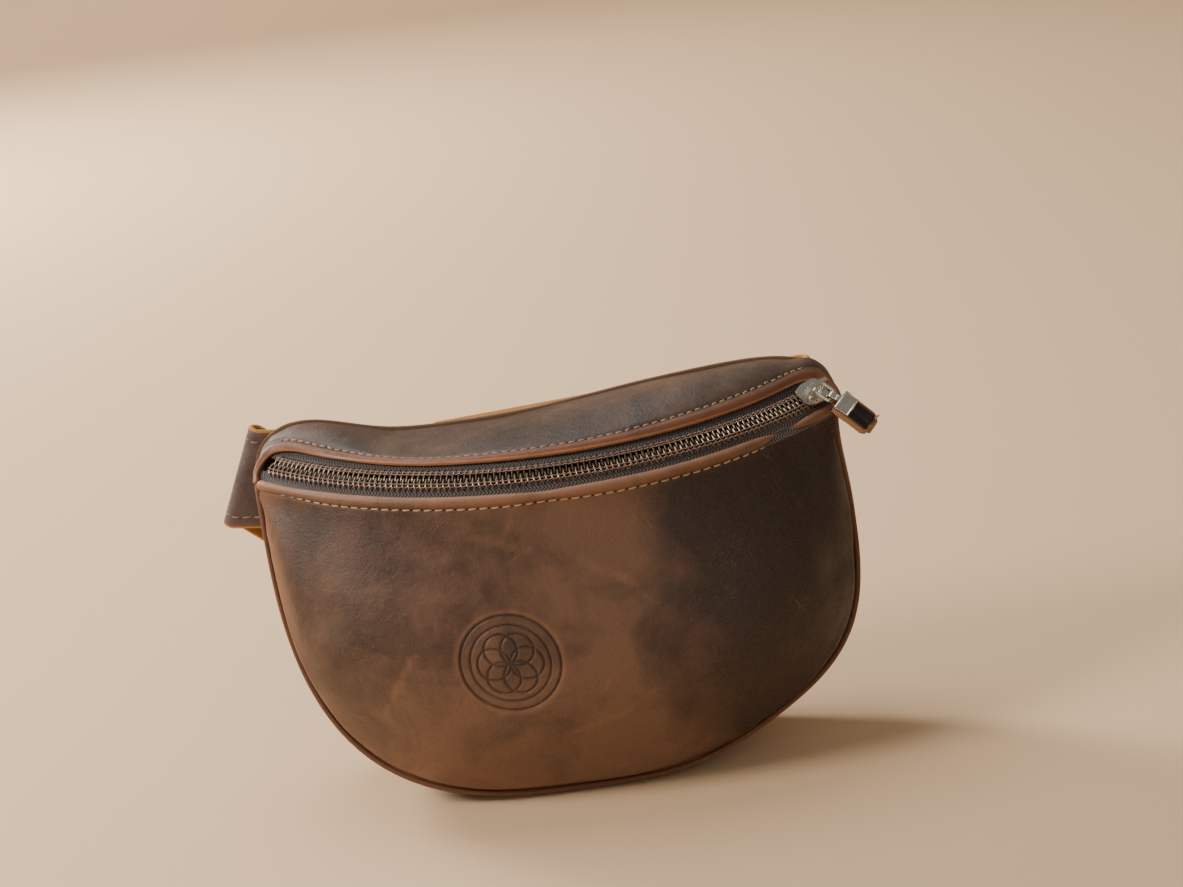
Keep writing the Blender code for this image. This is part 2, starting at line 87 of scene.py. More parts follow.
# Belt
STRAP_WIDTH = 37 * MM
STRAP_THICKNESS = 2 * MM
WING_FACE = 18.6 * MM
RUN_FACE = 24.6 * MM
RIGHT_RUN_LENGTH = 138 * MM
RIGHT_RUN_PITCH = 3.4 * MM
BUCKLE_LENGTH = 32 * MM
BUCKLE_HALF_WIDTH = 22.5 * MM
HEEL_BAR_ALONG = 88 * MM


# ---------------------------------------------------------------- camera, stage and lights

VIEW_YAW = math.radians(0.6)
VIEW_PITCH = math.radians(17.0)
VIEW_ROLL = math.radians(-7.5)
VIEW_DISTANCE = 0.726
VIEW_SHIFT_RIGHT = 0.0153
VIEW_SHIFT_UP = 0.0019
FOCAL_PER_WIDTH = 2000 / 1183
SENSOR = 36.0


def view_axes():
    """The camera's right, up and backward directions."""
    yaw, pitch = VIEW_YAW, VIEW_PITCH
    level = math.cos(pitch)
    back = Vector((-math.sin(yaw) * level, -math.cos(yaw) * level, math.sin(pitch)))
    right = Vector((math.cos(yaw), -math.sin(yaw), 0))
    up = back.cross(right)
    turned_right = right * math.cos(VIEW_ROLL) + up * math.sin(VIEW_ROLL)
    turned_up = up * math.cos(VIEW_ROLL) - right * math.sin(VIEW_ROLL)
    return turned_right, turned_up, back


def make_camera():
    right, up, back = view_axes()
    data = bpy.data.cameras.new("camera")
    data.sensor_width = SENSOR
    data.lens = SENSOR * FOCAL_PER_WIDTH
    data.clip_start = 0.01
    camera = bpy.data.objects.new("camera", data)
    bpy.context.collection.objects.link(camera)
    place = Vector((0, 0, ZIP_END_HEIGHT)) + back * VIEW_DISTANCE
    place += right * VIEW_SHIFT_RIGHT + up * VIEW_SHIFT_UP
    turn = Matrix((right, up, back)).transposed().to_4x4()
    camera.matrix_world = Matrix.Translation(place) @ turn
    bpy.context.scene.camera = camera


def area_light(name, place, target, size, power, colour):
    data = bpy.data.lights.new(name, "AREA")
    data.shape = "DISK"
    data.size = size
    data.energy = power
    data.color = colour
    light = bpy.data.objects.new(name, data)
    bpy.context.collection.objects.link(light)
    light.location = place
    aim = Vector(target) - Vector(place)
    light.rotation_euler = aim.to_track_quat("-Z", "Y").to_euler()


def make_stage():
    """A pale floor that curves up into a backdrop behind the pack, lit softly from the left."""
    floor_reach = 7.0
    wall_start = 3.6
    bend = 1.2
    wall_top = 3.0
    steps = 12
    profile = [(-floor_reach, 0.0), (wall_start, 0.0)]
    for k in range(1, steps + 1):
        turn = math.pi / 2 * k / steps
        profile.append((wall_start + bend * math.sin(turn), bend * (1 - math.cos(turn))))
    profile.append((wall_start + bend, wall_top))
    verts = [(x, y, z) for x in (-floor_reach, floor_reach) for y, z in profile]
    count = len(profile)
    faces = [(k, k + 1, k + 1 + count, k + count) for k in range(count - 1)]
    mesh = bpy.data.meshes.new("studio_floor")
    mesh.from_pydata(verts, [], faces)
    mesh.shade_smooth()
    floor = bpy.data.objects.new("studio_floor", mesh)
    bpy.context.collection.objects.link(floor)
    paint = bpy.data.materials.new("studio_paper")
    paint.use_nodes = True
    shader = paint.node_tree.nodes["Principled BSDF"]
    shader.inputs["Base Color"].default_value = (0.86, 0.60, 0.36, 1)
    shader.inputs["Roughness"].default_value = 0.9
    mesh.materials.append(paint)
    world = bpy.data.worlds.new("studio")
    bpy.context.scene.world = world
    world.use_nodes = True
    back = world.node_tree.nodes["Background"]
    back.inputs["Color"].default_value = (1.0, 0.92, 0.82, 1)
    back.inputs["Strength"].default_value = 0.26
    area_light("key", (-0.95, -0.30, 0.75), (0, 0, 0.08), 0.40, 10.5, (1.0, 0.94, 0.87))
    area_light("backdrop", (-1.6, 1.5, 1.25), (-0.8, 2.2, 0.0), 1.0, 105, (1.0, 0.96, 0.9))
    area_light("top", (-0.25, 0.35, 1.1), (0, 0, 0.1), 0.6, 5.0, (0.95, 0.97, 1.0))
    area_light("fill", (0.3, -1.0, 0.55), (0, 0, 0.06), 0.8, 1.2, (1.0, 0.93, 0.86))


# ---------------------------------------------------------------- mesh tools

def unit(vectors):
    return vectors / np.maximum(np.linalg.norm(vectors, axis=-1, keepdims=True), 1e-12)


def smooth_curve(points, count):
    """Points spread evenly along a Catmull-Rom curve through the given points."""
    pts = np.array(points, float)
    ends = np.vstack([2 * pts[0] - pts[1], pts, 2 * pts[-1] - pts[-2]])
    steps = 24
    fine = []
    for a, b, c, d in zip(ends, ends[1:], ends[2:], ends[3:]):
        t = np.linspace(0, 1, steps, endpoint=False)[:, None]
        fine.append(0.5 * (2 * b + (c - a) * t + (2 * a - 5 * b + 4 * c - d) * t ** 2
                           + (3 * b - a - 3 * c + d) * t ** 3))
    fine = np.vstack(fine + [pts[-1:]])
    reach = np.concatenate([[0], np.cumsum(np.linalg.norm(np.diff(fine, axis=0), axis=1))])
    wanted = np.linspace(0, reach[-1], count)
    return np.column_stack([np.interp(wanted, reach, fine[:, k]) for k in range(pts.shape[1])])


def bump(distance, width):
    return np.exp(-(distance / width) ** 2)


def smooth_step(value, low, high):
    t = np.clip((value - low) / (high - low), 0, 1)
    return t * t * (3 - 2 * t)


def add_piece(name, verts, faces, materials, face_materials=None, uvs=None, extra=None, sharp=40):
    """A mesh object with its rest position stored for the materials, and optional UVs."""
    mesh = bpy.data.meshes.new(name)
    mesh.from_pydata(np.asarray(verts).tolist(), [], [list(map(int, f)) for f in faces])
    for entry in materials:
        mesh.materials.append(entry)
    if face_materials is not None:
        mesh.polygons.foreach_set("material_index", np.asarray(face_materials, dtype=np.int32))
    rest = mesh.attributes.new("rest", "FLOAT_VECTOR", "POINT")
    rest.data.foreach_set("vector", np.asarray(verts, dtype=np.float32).ravel())
    for key, values in (extra or {}).items():
        layer = mesh.attributes.new(key, "FLOAT", "POINT")
        layer.data.foreach_set("value", np.asarray(values, dtype=np.float32))
    if uvs is not None:
        layer = mesh.uv_layers.new(name="cloth")
        loops = np.empty(len(mesh.loops), dtype=np.int32)
        mesh.loops.foreach_get("vertex_index", loops)
        layer.data.foreach_set("uv", np.asarray(uvs, dtype=np.float32)[loops].ravel())
    mesh.shade_smooth()
    mesh.set_sharp_from_angle(angle=math.radians(sharp))
    mesh.validate()
    obj = bpy.data.objects.new(name, mesh)
    bpy.context.collection.objects.link(obj)
    return obj


def grid_normals(grid):
    return unit(np.cross(np.gradient(grid, axis=0), np.gradient(grid, axis=1)))


def thick_sheet(name, grid, thickness, materials, uvs=None, wear=0.0, press_and_groove_shade=0.0, tone_and_painted_shade=0.0,
                rim=4, joined_ends=False):
    """A sheet of even thickness under the grid, with a rounded rim.

    The materials are the outer face, the rim and the inner face. Joined ends carry on into
    the next piece of the same strap, so they have no cut edge. The wear, press and shade marks
    vary the leather: rubbed; pressed in, with the grooves darkened as compressed leather and
    painted shade; and lighter or darker in tone, with painted shade where the front turns
    away from the key light.
    """
    rows, columns = grid.shape[:2]
    normal = grid_normals(grid)
    inner = grid - normal * thickness
    border = [(i, 0) for i in range(rows - 1)]
    border += [(rows - 1, j) for j in range(columns - 1)]
    border += [(i, columns - 1) for i in range(rows - 1, 0, -1)]
    border += [(0, j) for j in range(columns - 1, 0, -1)]
    index = np.arange(rows * columns).reshape(rows, columns)
    count = rows * columns
    verts = [grid.reshape(-1, 3), inner.reshape(-1, 3)]
    a, b, c, d = index[:-1, :-1], index[1:, :-1], index[1:, 1:], index[:-1, 1:]
    outer_faces = np.stack([a, b, c, d], -1).reshape(-1, 4)
    inner_faces = outer_faces[:, ::-1] + count
    edge_i = np.array([i for i, _ in border])
    edge_j = np.array([j for _, j in border])
    inward_i = np.clip(edge_i, 1, rows - 2)
    inward_j = np.clip(edge_j, 1, columns - 2)
    edge = grid[edge_i, edge_j]
    along = unit(np.roll(edge, -1, axis=0) - np.roll(edge, 1, axis=0))
    normals = normal[edge_i, edge_j]
    outward = unit(np.cross(along, normals))
    toward = edge - grid[inward_i, inward_j]
    flip = np.sign((outward * toward).sum(axis=1, keepdims=True))
    outward = outward * np.where(flip == 0, 1, flip)
    middle = edge - normals * thickness / 2
    rings = [index[edge_i, edge_j]]
    for k in range(1, rim):
        turn = math.pi * k / rim
        ring = middle + normals * (math.cos(turn) * thickness / 2)
        ring = ring + outward * (math.sin(turn) * thickness / 2)
        rings.append(np.arange(len(border)) + 2 * count + (k - 1) * len(border))
        verts.append(ring)
    rings.append(index[edge_i, edge_j] + count)
    rim_faces = []
    for near, far in zip(rings, rings[1:]):
        rim_faces.append(np.stack([near, far, np.roll(far, -1), np.roll(near, -1)], -1))
    rim_faces = np.vstack(rim_faces)
    faces = np.vstack([outer_faces, inner_faces, rim_faces])
    ends = (edge_i == np.roll(edge_i, -1)) & ((edge_i == 0) | (edge_i == rows - 1))
    rim_kinds = np.where(ends & joined_ends, 0, 1).tolist() * rim
    kinds = [0] * len(outer_faces) + [2] * len(inner_faces) + rim_kinds

    def spread(values):
        flat = values.reshape(count, -1)
        round_rim = values[edge_i, edge_j].reshape(len(border), -1)
        return np.vstack([flat, flat] + [round_rim] * (rim - 1))

    if uvs is not None:
        uvs = spread(uvs)
    looks = {"wear": wear, "press_and_groove_shade": press_and_groove_shade, "tone_and_painted_shade": tone_and_painted_shade}
    extra = {key: spread(np.broadcast_to(values, (rows, columns))).ravel()
             for key, values in looks.items()}
    return add_piece(name, np.vstack(verts), faces, materials, kinds, uvs, extra)


def tube_rings(path, radius, sides, closed=False):
    """Vertices and faces of a round tube, with capped ends unless it is closed."""
    pts = np.asarray(path, float)
    if closed:
        heading = unit(np.roll(pts, -1, axis=0) - np.roll(pts, 1, axis=0))
    else:
        heading = unit(np.gradient(pts, axis=0))
    frames = []
    side = unit(np.cross(heading[0], [0.31, 0.22, 0.92]))
    for direction in heading:
        side = unit(side - direction * np.dot(side, direction))
        frames.append((side, np.cross(direction, side)))
    radii = np.broadcast_to(radius, (len(pts),))
    turns = np.linspace(0, 2 * math.pi, sides, endpoint=False)
    rings = []
    for point, (one, two), size in zip(pts, frames, radii):
        rings.append(point + size * (np.outer(np.cos(turns), one) + np.outer(np.sin(turns), two)))
    verts = np.vstack(rings)
    faces = []
    last = len(pts) if closed else len(pts) - 1
    for k in range(last):
        low = k * sides
        high = ((k + 1) % len(pts)) * sides
        for n in range(sides):
            m = (n + 1) % sides
            faces.append((low + n, low + m, high + m, high + n))
    if not closed:
        faces.append(tuple(range(sides))[::-1])
        faces.append(tuple(range(len(verts) - sides, len(verts))))
    return verts, faces


def join_parts(parts):
    """Several (vertices, faces) pairs as one."""
    verts = []
    faces = []
    offset = 0
    for part_verts, part_faces in parts:
        verts.append(part_verts)
        faces += [tuple(k + offset for k in face) for face in part_faces]
        offset += len(part_verts)
    return np.vstack(verts), faces


def prism_part(outline, origin, first, second, along, start, end):
    """A flat outline extruded along a direction."""
    ring = np.array([origin + first * a + second * b for a, b in outline])
    verts = np.vstack([ring + along * start, ring + along * end])
    count = len(outline)
    faces = [tuple(range(count))[::-1], tuple(range(count, 2 * count))]
    faces += [(k, (k + 1) % count, (k + 1) % count + count, k + count) for k in range(count)]
    return verts, faces


def ribbon_outline(centreline, half_thickness):
    """The outline of a thin strip that follows a flat curve."""
    heading = unit(np.gradient(centreline, axis=0))
    side = np.column_stack([-heading[:, 1], heading[:, 0]]) * half_thickness
    return np.vstack([centreline + side, (centreline - side)[::-1]])


def soften(obj, width, segments):
    """Round the object's sharp edges."""
    step = obj.modifiers.new("rounding", "BEVEL")
    step.width = width
    step.segments = segments
    step.limit_method = "ANGLE"
    step.angle_limit = math.radians(30)
    return obj


def metal_piece(name, parts, finish, sharp=40):
    """Several closed parts as one object, with every face turned outwards."""
    verts, faces = join_parts(parts)
    obj = add_piece(name, verts, faces, [finish], sharp=sharp)
    bm = bmesh.new()
    bm.from_mesh(obj.data)
    bmesh.ops.recalc_face_normals(bm, faces=bm.faces)
    bm.to_mesh(obj.data)
    bm.free()
    return obj


# ---------------------------------------------------------------- materials

class Graph:
    """A short way to write shader nodes."""

    def __init__(self, name):
        self.material = bpy.data.materials.new(name)
        self.material.use_nodes = True
        self.tree = self.material.node_tree
        self.shader = self.tree.nodes["Principled BSDF"]

    def node(self, kind, values=None, **settings):
        made = self.tree.nodes.new(kind)
        for key, value in settings.items():
            setattr(made, key, value)
        for key, value in (values or {}).items():
            self.put(made.inputs[key], value)
        return made

    def put(self, socket, value):
        if isinstance(value, bpy.types.NodeSocket):
            self.tree.links.new(value, socket)
        else:
            socket.default_value = value

    def set(self, key, value):
        self.put(self.shader.inputs[key], value)

    def math(self, operation, a, b=0.0):
        return self.node("ShaderNodeMath", {0: a, 1: b}, operation=operation).outputs[0]

    def rest(self, stretch=(1, 1, 1), turn=(0, 0, 0)):
        """The rest position in millimetres, optionally turned and stretched."""
        place = self.node("ShaderNodeAttribute", attribute_name="rest").outputs["Vector"]
        scale = tuple(1000 * s for s in stretch)
        if any(turn):
            place = self.node("ShaderNodeMapping", {"Vector": place, "Rotation": turn}).outputs[0]
        return self.node("ShaderNodeMapping", {"Vector": place, "Scale": scale}).outputs[0]

    def attribute(self, key):
        return self.node("ShaderNodeAttribute", attribute_name=key).outputs["Fac"]

    def noise(self, place, size, detail=4.0, rough=0.55, warp=0.0):
        """Noise whose features are about size millimetres across, from 0 to 1."""
        values = {"Vector": place, "Scale": 1 / size, "Detail": detail, "Roughness": rough,
                  "Distortion": warp}
        return self.node("ShaderNodeTexNoise", values).outputs["Fac"]

    def cells(self, place, size):
        values = {"Vector": place, "Scale": 1 / size}
        return self.node("ShaderNodeTexVoronoi", values).outputs["Distance"]

    def ramp(self, factor, stops):
        made = self.node("ShaderNodeValToRGB", {"Fac": factor})
        band = made.color_ramp
        while len(band.elements) > 1:
            band.elements.remove(band.elements[-1])
        band.elements[0].position = stops[0][0]
        band.elements[0].color = colour4(stops[0][1])
        for place, colour in stops[1:]:
            band.elements.new(place).color = colour4(colour)
        return made.outputs["Color"]

    def mix(self, factor, one, two):
        made = self.node("ShaderNodeMix", data_type="RGBA")
        self.put(made.inputs["Factor"], factor)
        self.put(made.inputs[6], colour4(one))
        self.put(made.inputs[7], colour4(two))
        return made.outputs[2]

    def remap(self, value, low, high, to_low, to_high):
        values = {"Value": value, "From Min": low, "From Max": high, "To Min": to_low,
                  "To Max": to_high}
        return self.node("ShaderNodeMapRange", values).outputs[0]

    def bump(self, height, distance, strength=1.0, under=None):
        values = {"Height": height, "Distance": distance, "Strength": strength}
        if under is not None:
            values["Normal"] = under
        return self.node("ShaderNodeBump", values).outputs["Normal"]


def colour4(value):
    if isinstance(value, bpy.types.NodeSocket):
        return value
    return tuple(value) + (1,)


def streaks(g, turn, spread, seed_shift):
    """Fine pale scratches in one direction."""
    place = g.rest((1, 1, 0.035), turn)
    place = g.node("ShaderNodeVectorMath", {0: place, 1: (seed_shift, 0, seed_shift)},
                   operation="ADD").outputs[0]
    lines = g.noise(place, spread, 2.0, 0.5)
    near = g.math("ABSOLUTE", g.math("SUBTRACT", lines, 0.5))
    return g.remap(near, 0.0, 0.012, 1.0, 0.0)


def leather(name, dark, middle, light, worn, contrast=1.0, gloss=0.5):
    """Waxed pull-up leather: clouded colour, fine grain, scratches and worn edges."""
    g = Graph(name)
    place = g.rest()
    clouds = g.noise(place, 34, 5.0, 0.58, 0.7)
    patches = g.noise(place, 9, 4.0, 0.6, 0.4)
    field = g.math("ADD", g.math("MULTIPLY", clouds, 0.72), g.math("MULTIPLY", patches, 0.28))
    # the tone attribute shifts the clouds; on the front it also carries painted shade, darker on
    # the side turned from the key light
    tone_and_painted_shade = g.attribute("tone_and_painted_shade")
    field = g.math("ADD", field, tone_and_painted_shade)
    half = 0.16 / contrast
    colour = g.ramp(g.remap(field, 0.5 - half, 0.5 + half, 0.0, 1.0),
                    [(0.0, dark), (0.5, middle), (1.0, light)])
    speck = g.noise(place, 0.55, 2.0, 0.7)
    colour = g.mix(g.remap(speck, 0.35, 0.75, 0.0, 0.35), colour, light)
    pores = g.cells(place, 1.1)
    colour = g.mix(g.remap(pores, 0.0, 0.35, 0.28, 0.0), colour, dark)
    rubbed = g.remap(g.noise(place, 15, 3.0, 0.6), 0.52, 0.68, 0.0, 1.0)
    lines = g.math("MAXIMUM", streaks(g, (0, 0.6, 0), 2.6, 3.0),
                   streaks(g, (0, -0.9, 0), 3.4, 11.0))
    lines = g.math("MULTIPLY", lines, rubbed)
    colour = g.mix(g.math("MULTIPLY", lines, 0.22), colour, worn)
    wear = g.attribute("wear")
    rough_wear = g.math("MULTIPLY", wear, g.remap(patches, 0.3, 0.7, 0.7, 1.15))
    colour = g.mix(g.math("MINIMUM", rough_wear, 1.0), colour, worn)
    # the pressed grooves of the emblem and stitch lines mix towards the dark colour: compressed
    # leather, and painted shade in the grooves
    press_and_groove_shade = g.attribute("press_and_groove_shade")
    colour = g.mix(g.math("MULTIPLY", press_and_groove_shade, 0.6), colour, dark)
    g.set("Base Color", colour)
    g.set("Roughness", g.remap(patches, 0.3, 0.7, gloss - 0.08, gloss + 0.12))
    g.shader.inputs["Specular IOR Level"].default_value = 0.45
    grain = g.cells(place, 0.8)
    creases = g.noise(place, 3.2, 5.0, 0.62, 0.6)
    first = g.bump(grain, 0.00012, 0.5)
    second = g.bump(creases, 0.0006, 0.45, first)
    g.set("Normal", g.bump(lines, 0.0001, 0.6, second))
    return g.material


def raw_edge(name, colour):
    """A cut leather edge, fibrous and lighter than the face."""
    g = Graph(name)
    fibre = g.noise(g.rest((1, 1, 1)), 0.5, 4.0, 0.7)
    g.set("Base Color", g.ramp(fibre, [(0.25, tuple(c * 0.55 for c in colour)), (0.7, colour)]))
    g.shader.inputs["Roughness"].default_value = 0.8
    g.set("Normal", g.bump(fibre, 0.0003, 0.7))
    return g.material


def suede(name, dark, light):
    """The flesh side of the leather: napped and matt."""
    g = Graph(name)
    nap = g.noise(g.rest(), 0.7, 6.0, 0.75)
    swirl = g.noise(g.rest((1, 1, 0.5)), 5.0, 3.0, 0.6, 0.5)
    mixed = g.math("ADD", g.math("MULTIPLY", nap, 0.6), g.math("MULTIPLY", swirl, 0.4))
    g.set("Base Color", g.ramp(mixed, [(0.35, dark), (0.65, light)]))
    g.shader.inputs["Roughness"].default_value = 0.95
    g.shader.inputs["Sheen Weight"].default_value = 0.3
    g.set("Normal", g.bump(nap, 0.0004, 0.8))
    return g.material


def thread(name, colour):
    """Twisted waxed thread."""
    g = Graph(name)
    twist = g.noise(g.rest(), 0.25, 2.0, 0.6)
    g.set("Base Color", g.ramp(twist, [(0.3, tuple(c * 0.6 for c in colour)), (0.65, colour)]))
    g.shader.inputs["Roughness"].default_value = 0.6
    g.set("Normal", g.bump(twist, 0.0001, 0.6))
    return g.material


def plain(name, colour, rough):
    g = Graph(name)
    speck = g.noise(g.rest(), 0.4, 2.0)
    g.set("Base Color", g.ramp(speck, [(0.3, tuple(c * 0.7 for c in colour)), (0.7, colour)]))
    g.shader.inputs["Roughness"].default_value = rough
    return g.material


def tape_weave(name, dark, light):
    """Zipper tape: fine herringbone ribs, in millimetres along and across the tape."""
    g = Graph(name)
    place = g.node("ShaderNodeUVMap", uv_map="cloth").outputs[0]
    split = g.node("ShaderNodeSeparateXYZ", {0: place})
    along, across = split.outputs[0], split.outputs[1]
    zig = g.math("PINGPONG", across, 1.3)
    slant = g.math("ADD", along, zig)
    rib = g.math("SINE", g.math("MULTIPLY", slant, 2 * math.pi / 1.25))
    pick = g.math("SINE", g.math("MULTIPLY", across, 2 * math.pi / 0.65))
    fuzz = g.noise(g.rest(), 0.35, 3.0, 0.7)
    height = g.math("ADD", g.math("MULTIPLY", rib, 0.5), g.math("MULTIPLY", pick, 0.1))
    height = g.math("ADD", height, g.math("MULTIPLY", fuzz, 0.5))
    g.set("Base Color", g.ramp(g.remap(height, -0.3, 0.85, 0.0, 1.0), [(0.1, dark), (0.9, light)]))
    g.shader.inputs["Roughness"].default_value = 0.75
    g.shader.inputs["Sheen Weight"].default_value = 0.15
    g.set("Normal", g.bump(height, 0.00018, 0.9))
    return g.material


def lining_weave(name, dark, light):
    g = Graph(name)
    place = g.rest()
    split = g.node("ShaderNodeSeparateXYZ", {0: place})
    warp = g.math("SINE", g.math("MULTIPLY", split.outputs[0], 2 * math.pi / 0.7))
    weft = g.math("SINE", g.math("MULTIPLY", split.outputs[2], 2 * math.pi / 0.7))
    height = g.math("MULTIPLY", warp, weft)
    fuzz = g.noise(place, 2.5, 4.0, 0.7)
    tone = g.math("ADD", g.math("MULTIPLY", height, 0.2), fuzz)
    g.set("Base Color", g.ramp(g.remap(tone, 0.2, 0.8, 0.0, 1.0), [(0.0, dark), (1.0, light)]))
    g.shader.inputs["Roughness"].default_value = 0.9
    g.set("Normal", g.bump(height, 0.0002, 0.5))
    return g.material


def metal(name, colour, rough, tarnish):
    """Plated metal with faint handling marks and darker hollows."""
    g = Graph(name)
    marks = g.noise(g.rest((1, 1, 0.3)), 1.4, 5.0, 0.65)
    g.set("Base Color", g.ramp(marks, [(0.3, tuple(c * tarnish for c in colour)), (0.6, colour)]))
    g.shader.inputs["Metallic"].default_value = 1.0
    g.set("Roughness", g.remap(marks, 0.3, 0.7, rough + 0.12, rough))
    g.set("Normal", g.bump(marks, 0.00005, 0.4))
    return g.material


FRONT_LEATHER = leather("front_leather", (0.018, 0.010, 0.007), (0.078, 0.041, 0.026),
                        (0.165, 0.086, 0.052), (0.36, 0.170, 0.090), 1.0)
TOP_LEATHER = leather("top_leather", (0.018, 0.012, 0.010), (0.056, 0.036, 0.026),
                      (0.125, 0.075, 0.050), (0.19, 0.068, 0.030), 1.0, 0.45)
GUSSET_LEATHER = leather("gusset_leather", (0.018, 0.009, 0.006), (0.062, 0.030, 0.017),
                         (0.130, 0.066, 0.036), (0.26, 0.11, 0.045))
STRAP_LEATHER = leather("strap_leather", (0.034, 0.024, 0.023), (0.074, 0.052, 0.050),
                        (0.130, 0.092, 0.088), (0.26, 0.10, 0.045), 0.8, 0.38)
EDGE_DARK = raw_edge("burnished_edge", (0.20, 0.085, 0.042))
EDGE_ROLLED = leather("rolled_edge_leather", (0.060, 0.022, 0.011), (0.150, 0.052, 0.022),
                      (0.26, 0.100, 0.044), (0.38, 0.16, 0.07), 0.9, 0.42)
EDGE_GOLD = raw_edge("cut_edge", (0.66, 0.33, 0.085))
EDGE_BACK = raw_edge("back_cut_edge", (0.20, 0.10, 0.05))
SUEDE = suede("flesh_side", (0.16, 0.055, 0.014), (0.42, 0.17, 0.045))
FLESH = suede("inner_flesh_side", (0.09, 0.05, 0.03), (0.20, 0.12, 0.075))
CREAM_THREAD = thread("cream_thread", (0.66, 0.46, 0.29))
ROSE_THREAD = thread("strap_thread", (0.42, 0.26, 0.20))
# near-black: painted shade for the inside of the awl holes
HOLE_PAINTED_SHADE = plain("awl_hole_painted_shade", (0.012, 0.006, 0.004), 0.9)
TAPE = tape_weave("zipper_tape_cloth", (0.008, 0.007, 0.009), (0.17, 0.135, 0.12))
TOOTH = metal("zipper_tooth", (0.27, 0.20, 0.145), 0.34, 0.3)
NICKEL = metal("polished_nickel", (0.78, 0.74, 0.66), 0.12, 0.8)
ANTIQUE = metal("antique_brass", (0.42, 0.33, 0.21), 0.3, 0.5)
LINING = lining_weave("cotton_lining", (0.14, 0.10, 0.07), (0.27, 0.21, 0.15))
TAB_FACE = leather("tab_leather", (0.006, 0.004, 0.003), (0.014, 0.008, 0.006),
                   (0.030, 0.017, 0.011), (0.20, 0.09, 0.04), 1.0, 0.22)
TAB_EDGE = raw_edge("tab_edge", (0.42, 0.21, 0.09))


# ---------------------------------------------------------------- shared geometry

def zip_axes(angle):
    """Radial, tangent, across (inwards and up) and outward directions at the arc's angles."""
    angle = np.atleast_1d(angle)[:, None]
    radial = X_AXIS * np.sin(angle) - ARC_BACK * np.cos(angle)
    tangent = X_AXIS * np.cos(angle) + ARC_BACK * np.sin(angle)
    across = ARC_NORMAL * math.sin(BAND_TILT) - radial * math.cos(BAND_TILT)
    outward = ARC_NORMAL * math.cos(BAND_TILT) + radial * math.sin(BAND_TILT)
    return radial, tangent, across, outward


def band_points(angle, across_by, out_by=0.0):
    """Points beside the chain, for arrays of angles and distances."""
    radial, _, across, outward = zip_axes(angle)
    across_by = np.broadcast_to(across_by, np.shape(np.atleast_1d(angle)))[:, None]
    out_by = np.broadcast_to(out_by, np.shape(np.atleast_1d(angle)))[:, None]
    return ARC_CENTRE + radial * ARC_RADIUS + across * across_by + outward * out_by


def outline_points(side, half_width=HALF_WIDTH):
    """x, z and the drop from 0 to 1 along the half-moon seam."""
    turn = math.pi / 2 * (1 - np.asarray(side))
    power = 2 / OUTLINE_POWER
    drop = np.abs(np.sin(turn)) ** power
    x = half_width * np.sign(np.cos(turn)) * np.abs(np.cos(turn)) ** power
    return x, ZIP_END_HEIGHT - (ZIP_END_HEIGHT - SEAM_HEIGHT) * drop, drop


def seam_points(side):
    x, z, drop = outline_points(side)
    return np.column_stack([x, -SEAM_FORWARD * drop ** 1.5, z])


def back_top(x):
    """The height of the pack's back edge, which dips left of the middle."""
    knots = [(-99, 136.5), (-84, 137), (-57, 130.5), (-28, 129.5), (0, 131), (38, 135.5),
             (70, 138), (88, 137.5), (99, 134.5)]
    curve = smooth_curve(knots, 200) * MM
    return np.interp(x, curve[:, 0], curve[:, 1])


def slouch(grid):
    """The filled pack leans out at its lower right, where the leather is fullest."""
    x, z = grid[..., 0].copy(), grid[..., 2].copy()
    side = smooth_step(x, 30 * MM, 104 * MM)
    out = 5.0 * MM * bump(z - 42 * MM, 36 * MM) - 2.4 * MM * bump(z - 112 * MM, 20 * MM)
    grid[..., 0] = x + side * out
    grid[..., 2] = z + 5.0 * MM * bump(x - 72 * MM, 30 * MM) * smooth_step(z, 60 * MM, 10 * MM)
    return grid


def dense_steps(length, fine, coarse, zones):
    """Rising positions from 0 to 1, closely spaced inside the zones, all lengths in metres."""
    position = 0.0
    steps = [0.0]
    while position < length:
        inside = any(low <= position <= high for low, high in zones)
        position += fine if inside else coarse
        steps.append(min(position, length))
    return np.array(steps) / length


# ---------------------------------------------------------------- front panel

def emblem_depth(a, b):
    """How deep the leather is pressed at a place in the emblem, from 0 to 1."""
    radius = np.hypot(a, b)
    groove = 0.42 * MM
    depth = bump(radius - EMBLEM_RADIUS, groove)
    depth = np.maximum(depth, bump(radius - 0.80 * EMBLEM_RADIUS, groove))
    petal = 0.33 * EMBLEM_RADIUS
    inside = radius < 2 * petal + 0.3 * MM
    for k in range(6):
        turn = math.pi / 3 * k
        reach = np.hypot(a - petal * math.cos(turn), b - petal * math.sin(turn))
        depth = np.maximum(depth, bump(reach - petal, groove) * inside)
    return depth


def segment_distance(x, z, start, end):
    """Distance from points to a straight crease, all in the front view."""
    line = np.array(end) - np.array(start)
    t = ((x - start[0]) * line[0] + (z - start[1]) * line[1]) / (line @ line)
    t = np.clip(t, 0, 1)
    return np.hypot(x - start[0] - t * line[0], z - start[1] - t * line[1])


# the front's creases: start and end in millimetres, width, and how rubbed they are
CREASES = (((6, 92), (24, 82), 1.6, 0.55), ((18, 86), (30, 74), 1.2, 0.35),
           ((-66, 52), (-56, 66), 1.1, 0.7), ((-70, 44), (-62, 56), 1.0, 0.4),
           ((-8, 30), (14, 36), 1.0, 0.5), ((14, 36), (26, 44), 1.0, 0.3),
           ((-30, 104), (-12, 98), 1.3, 0.35))
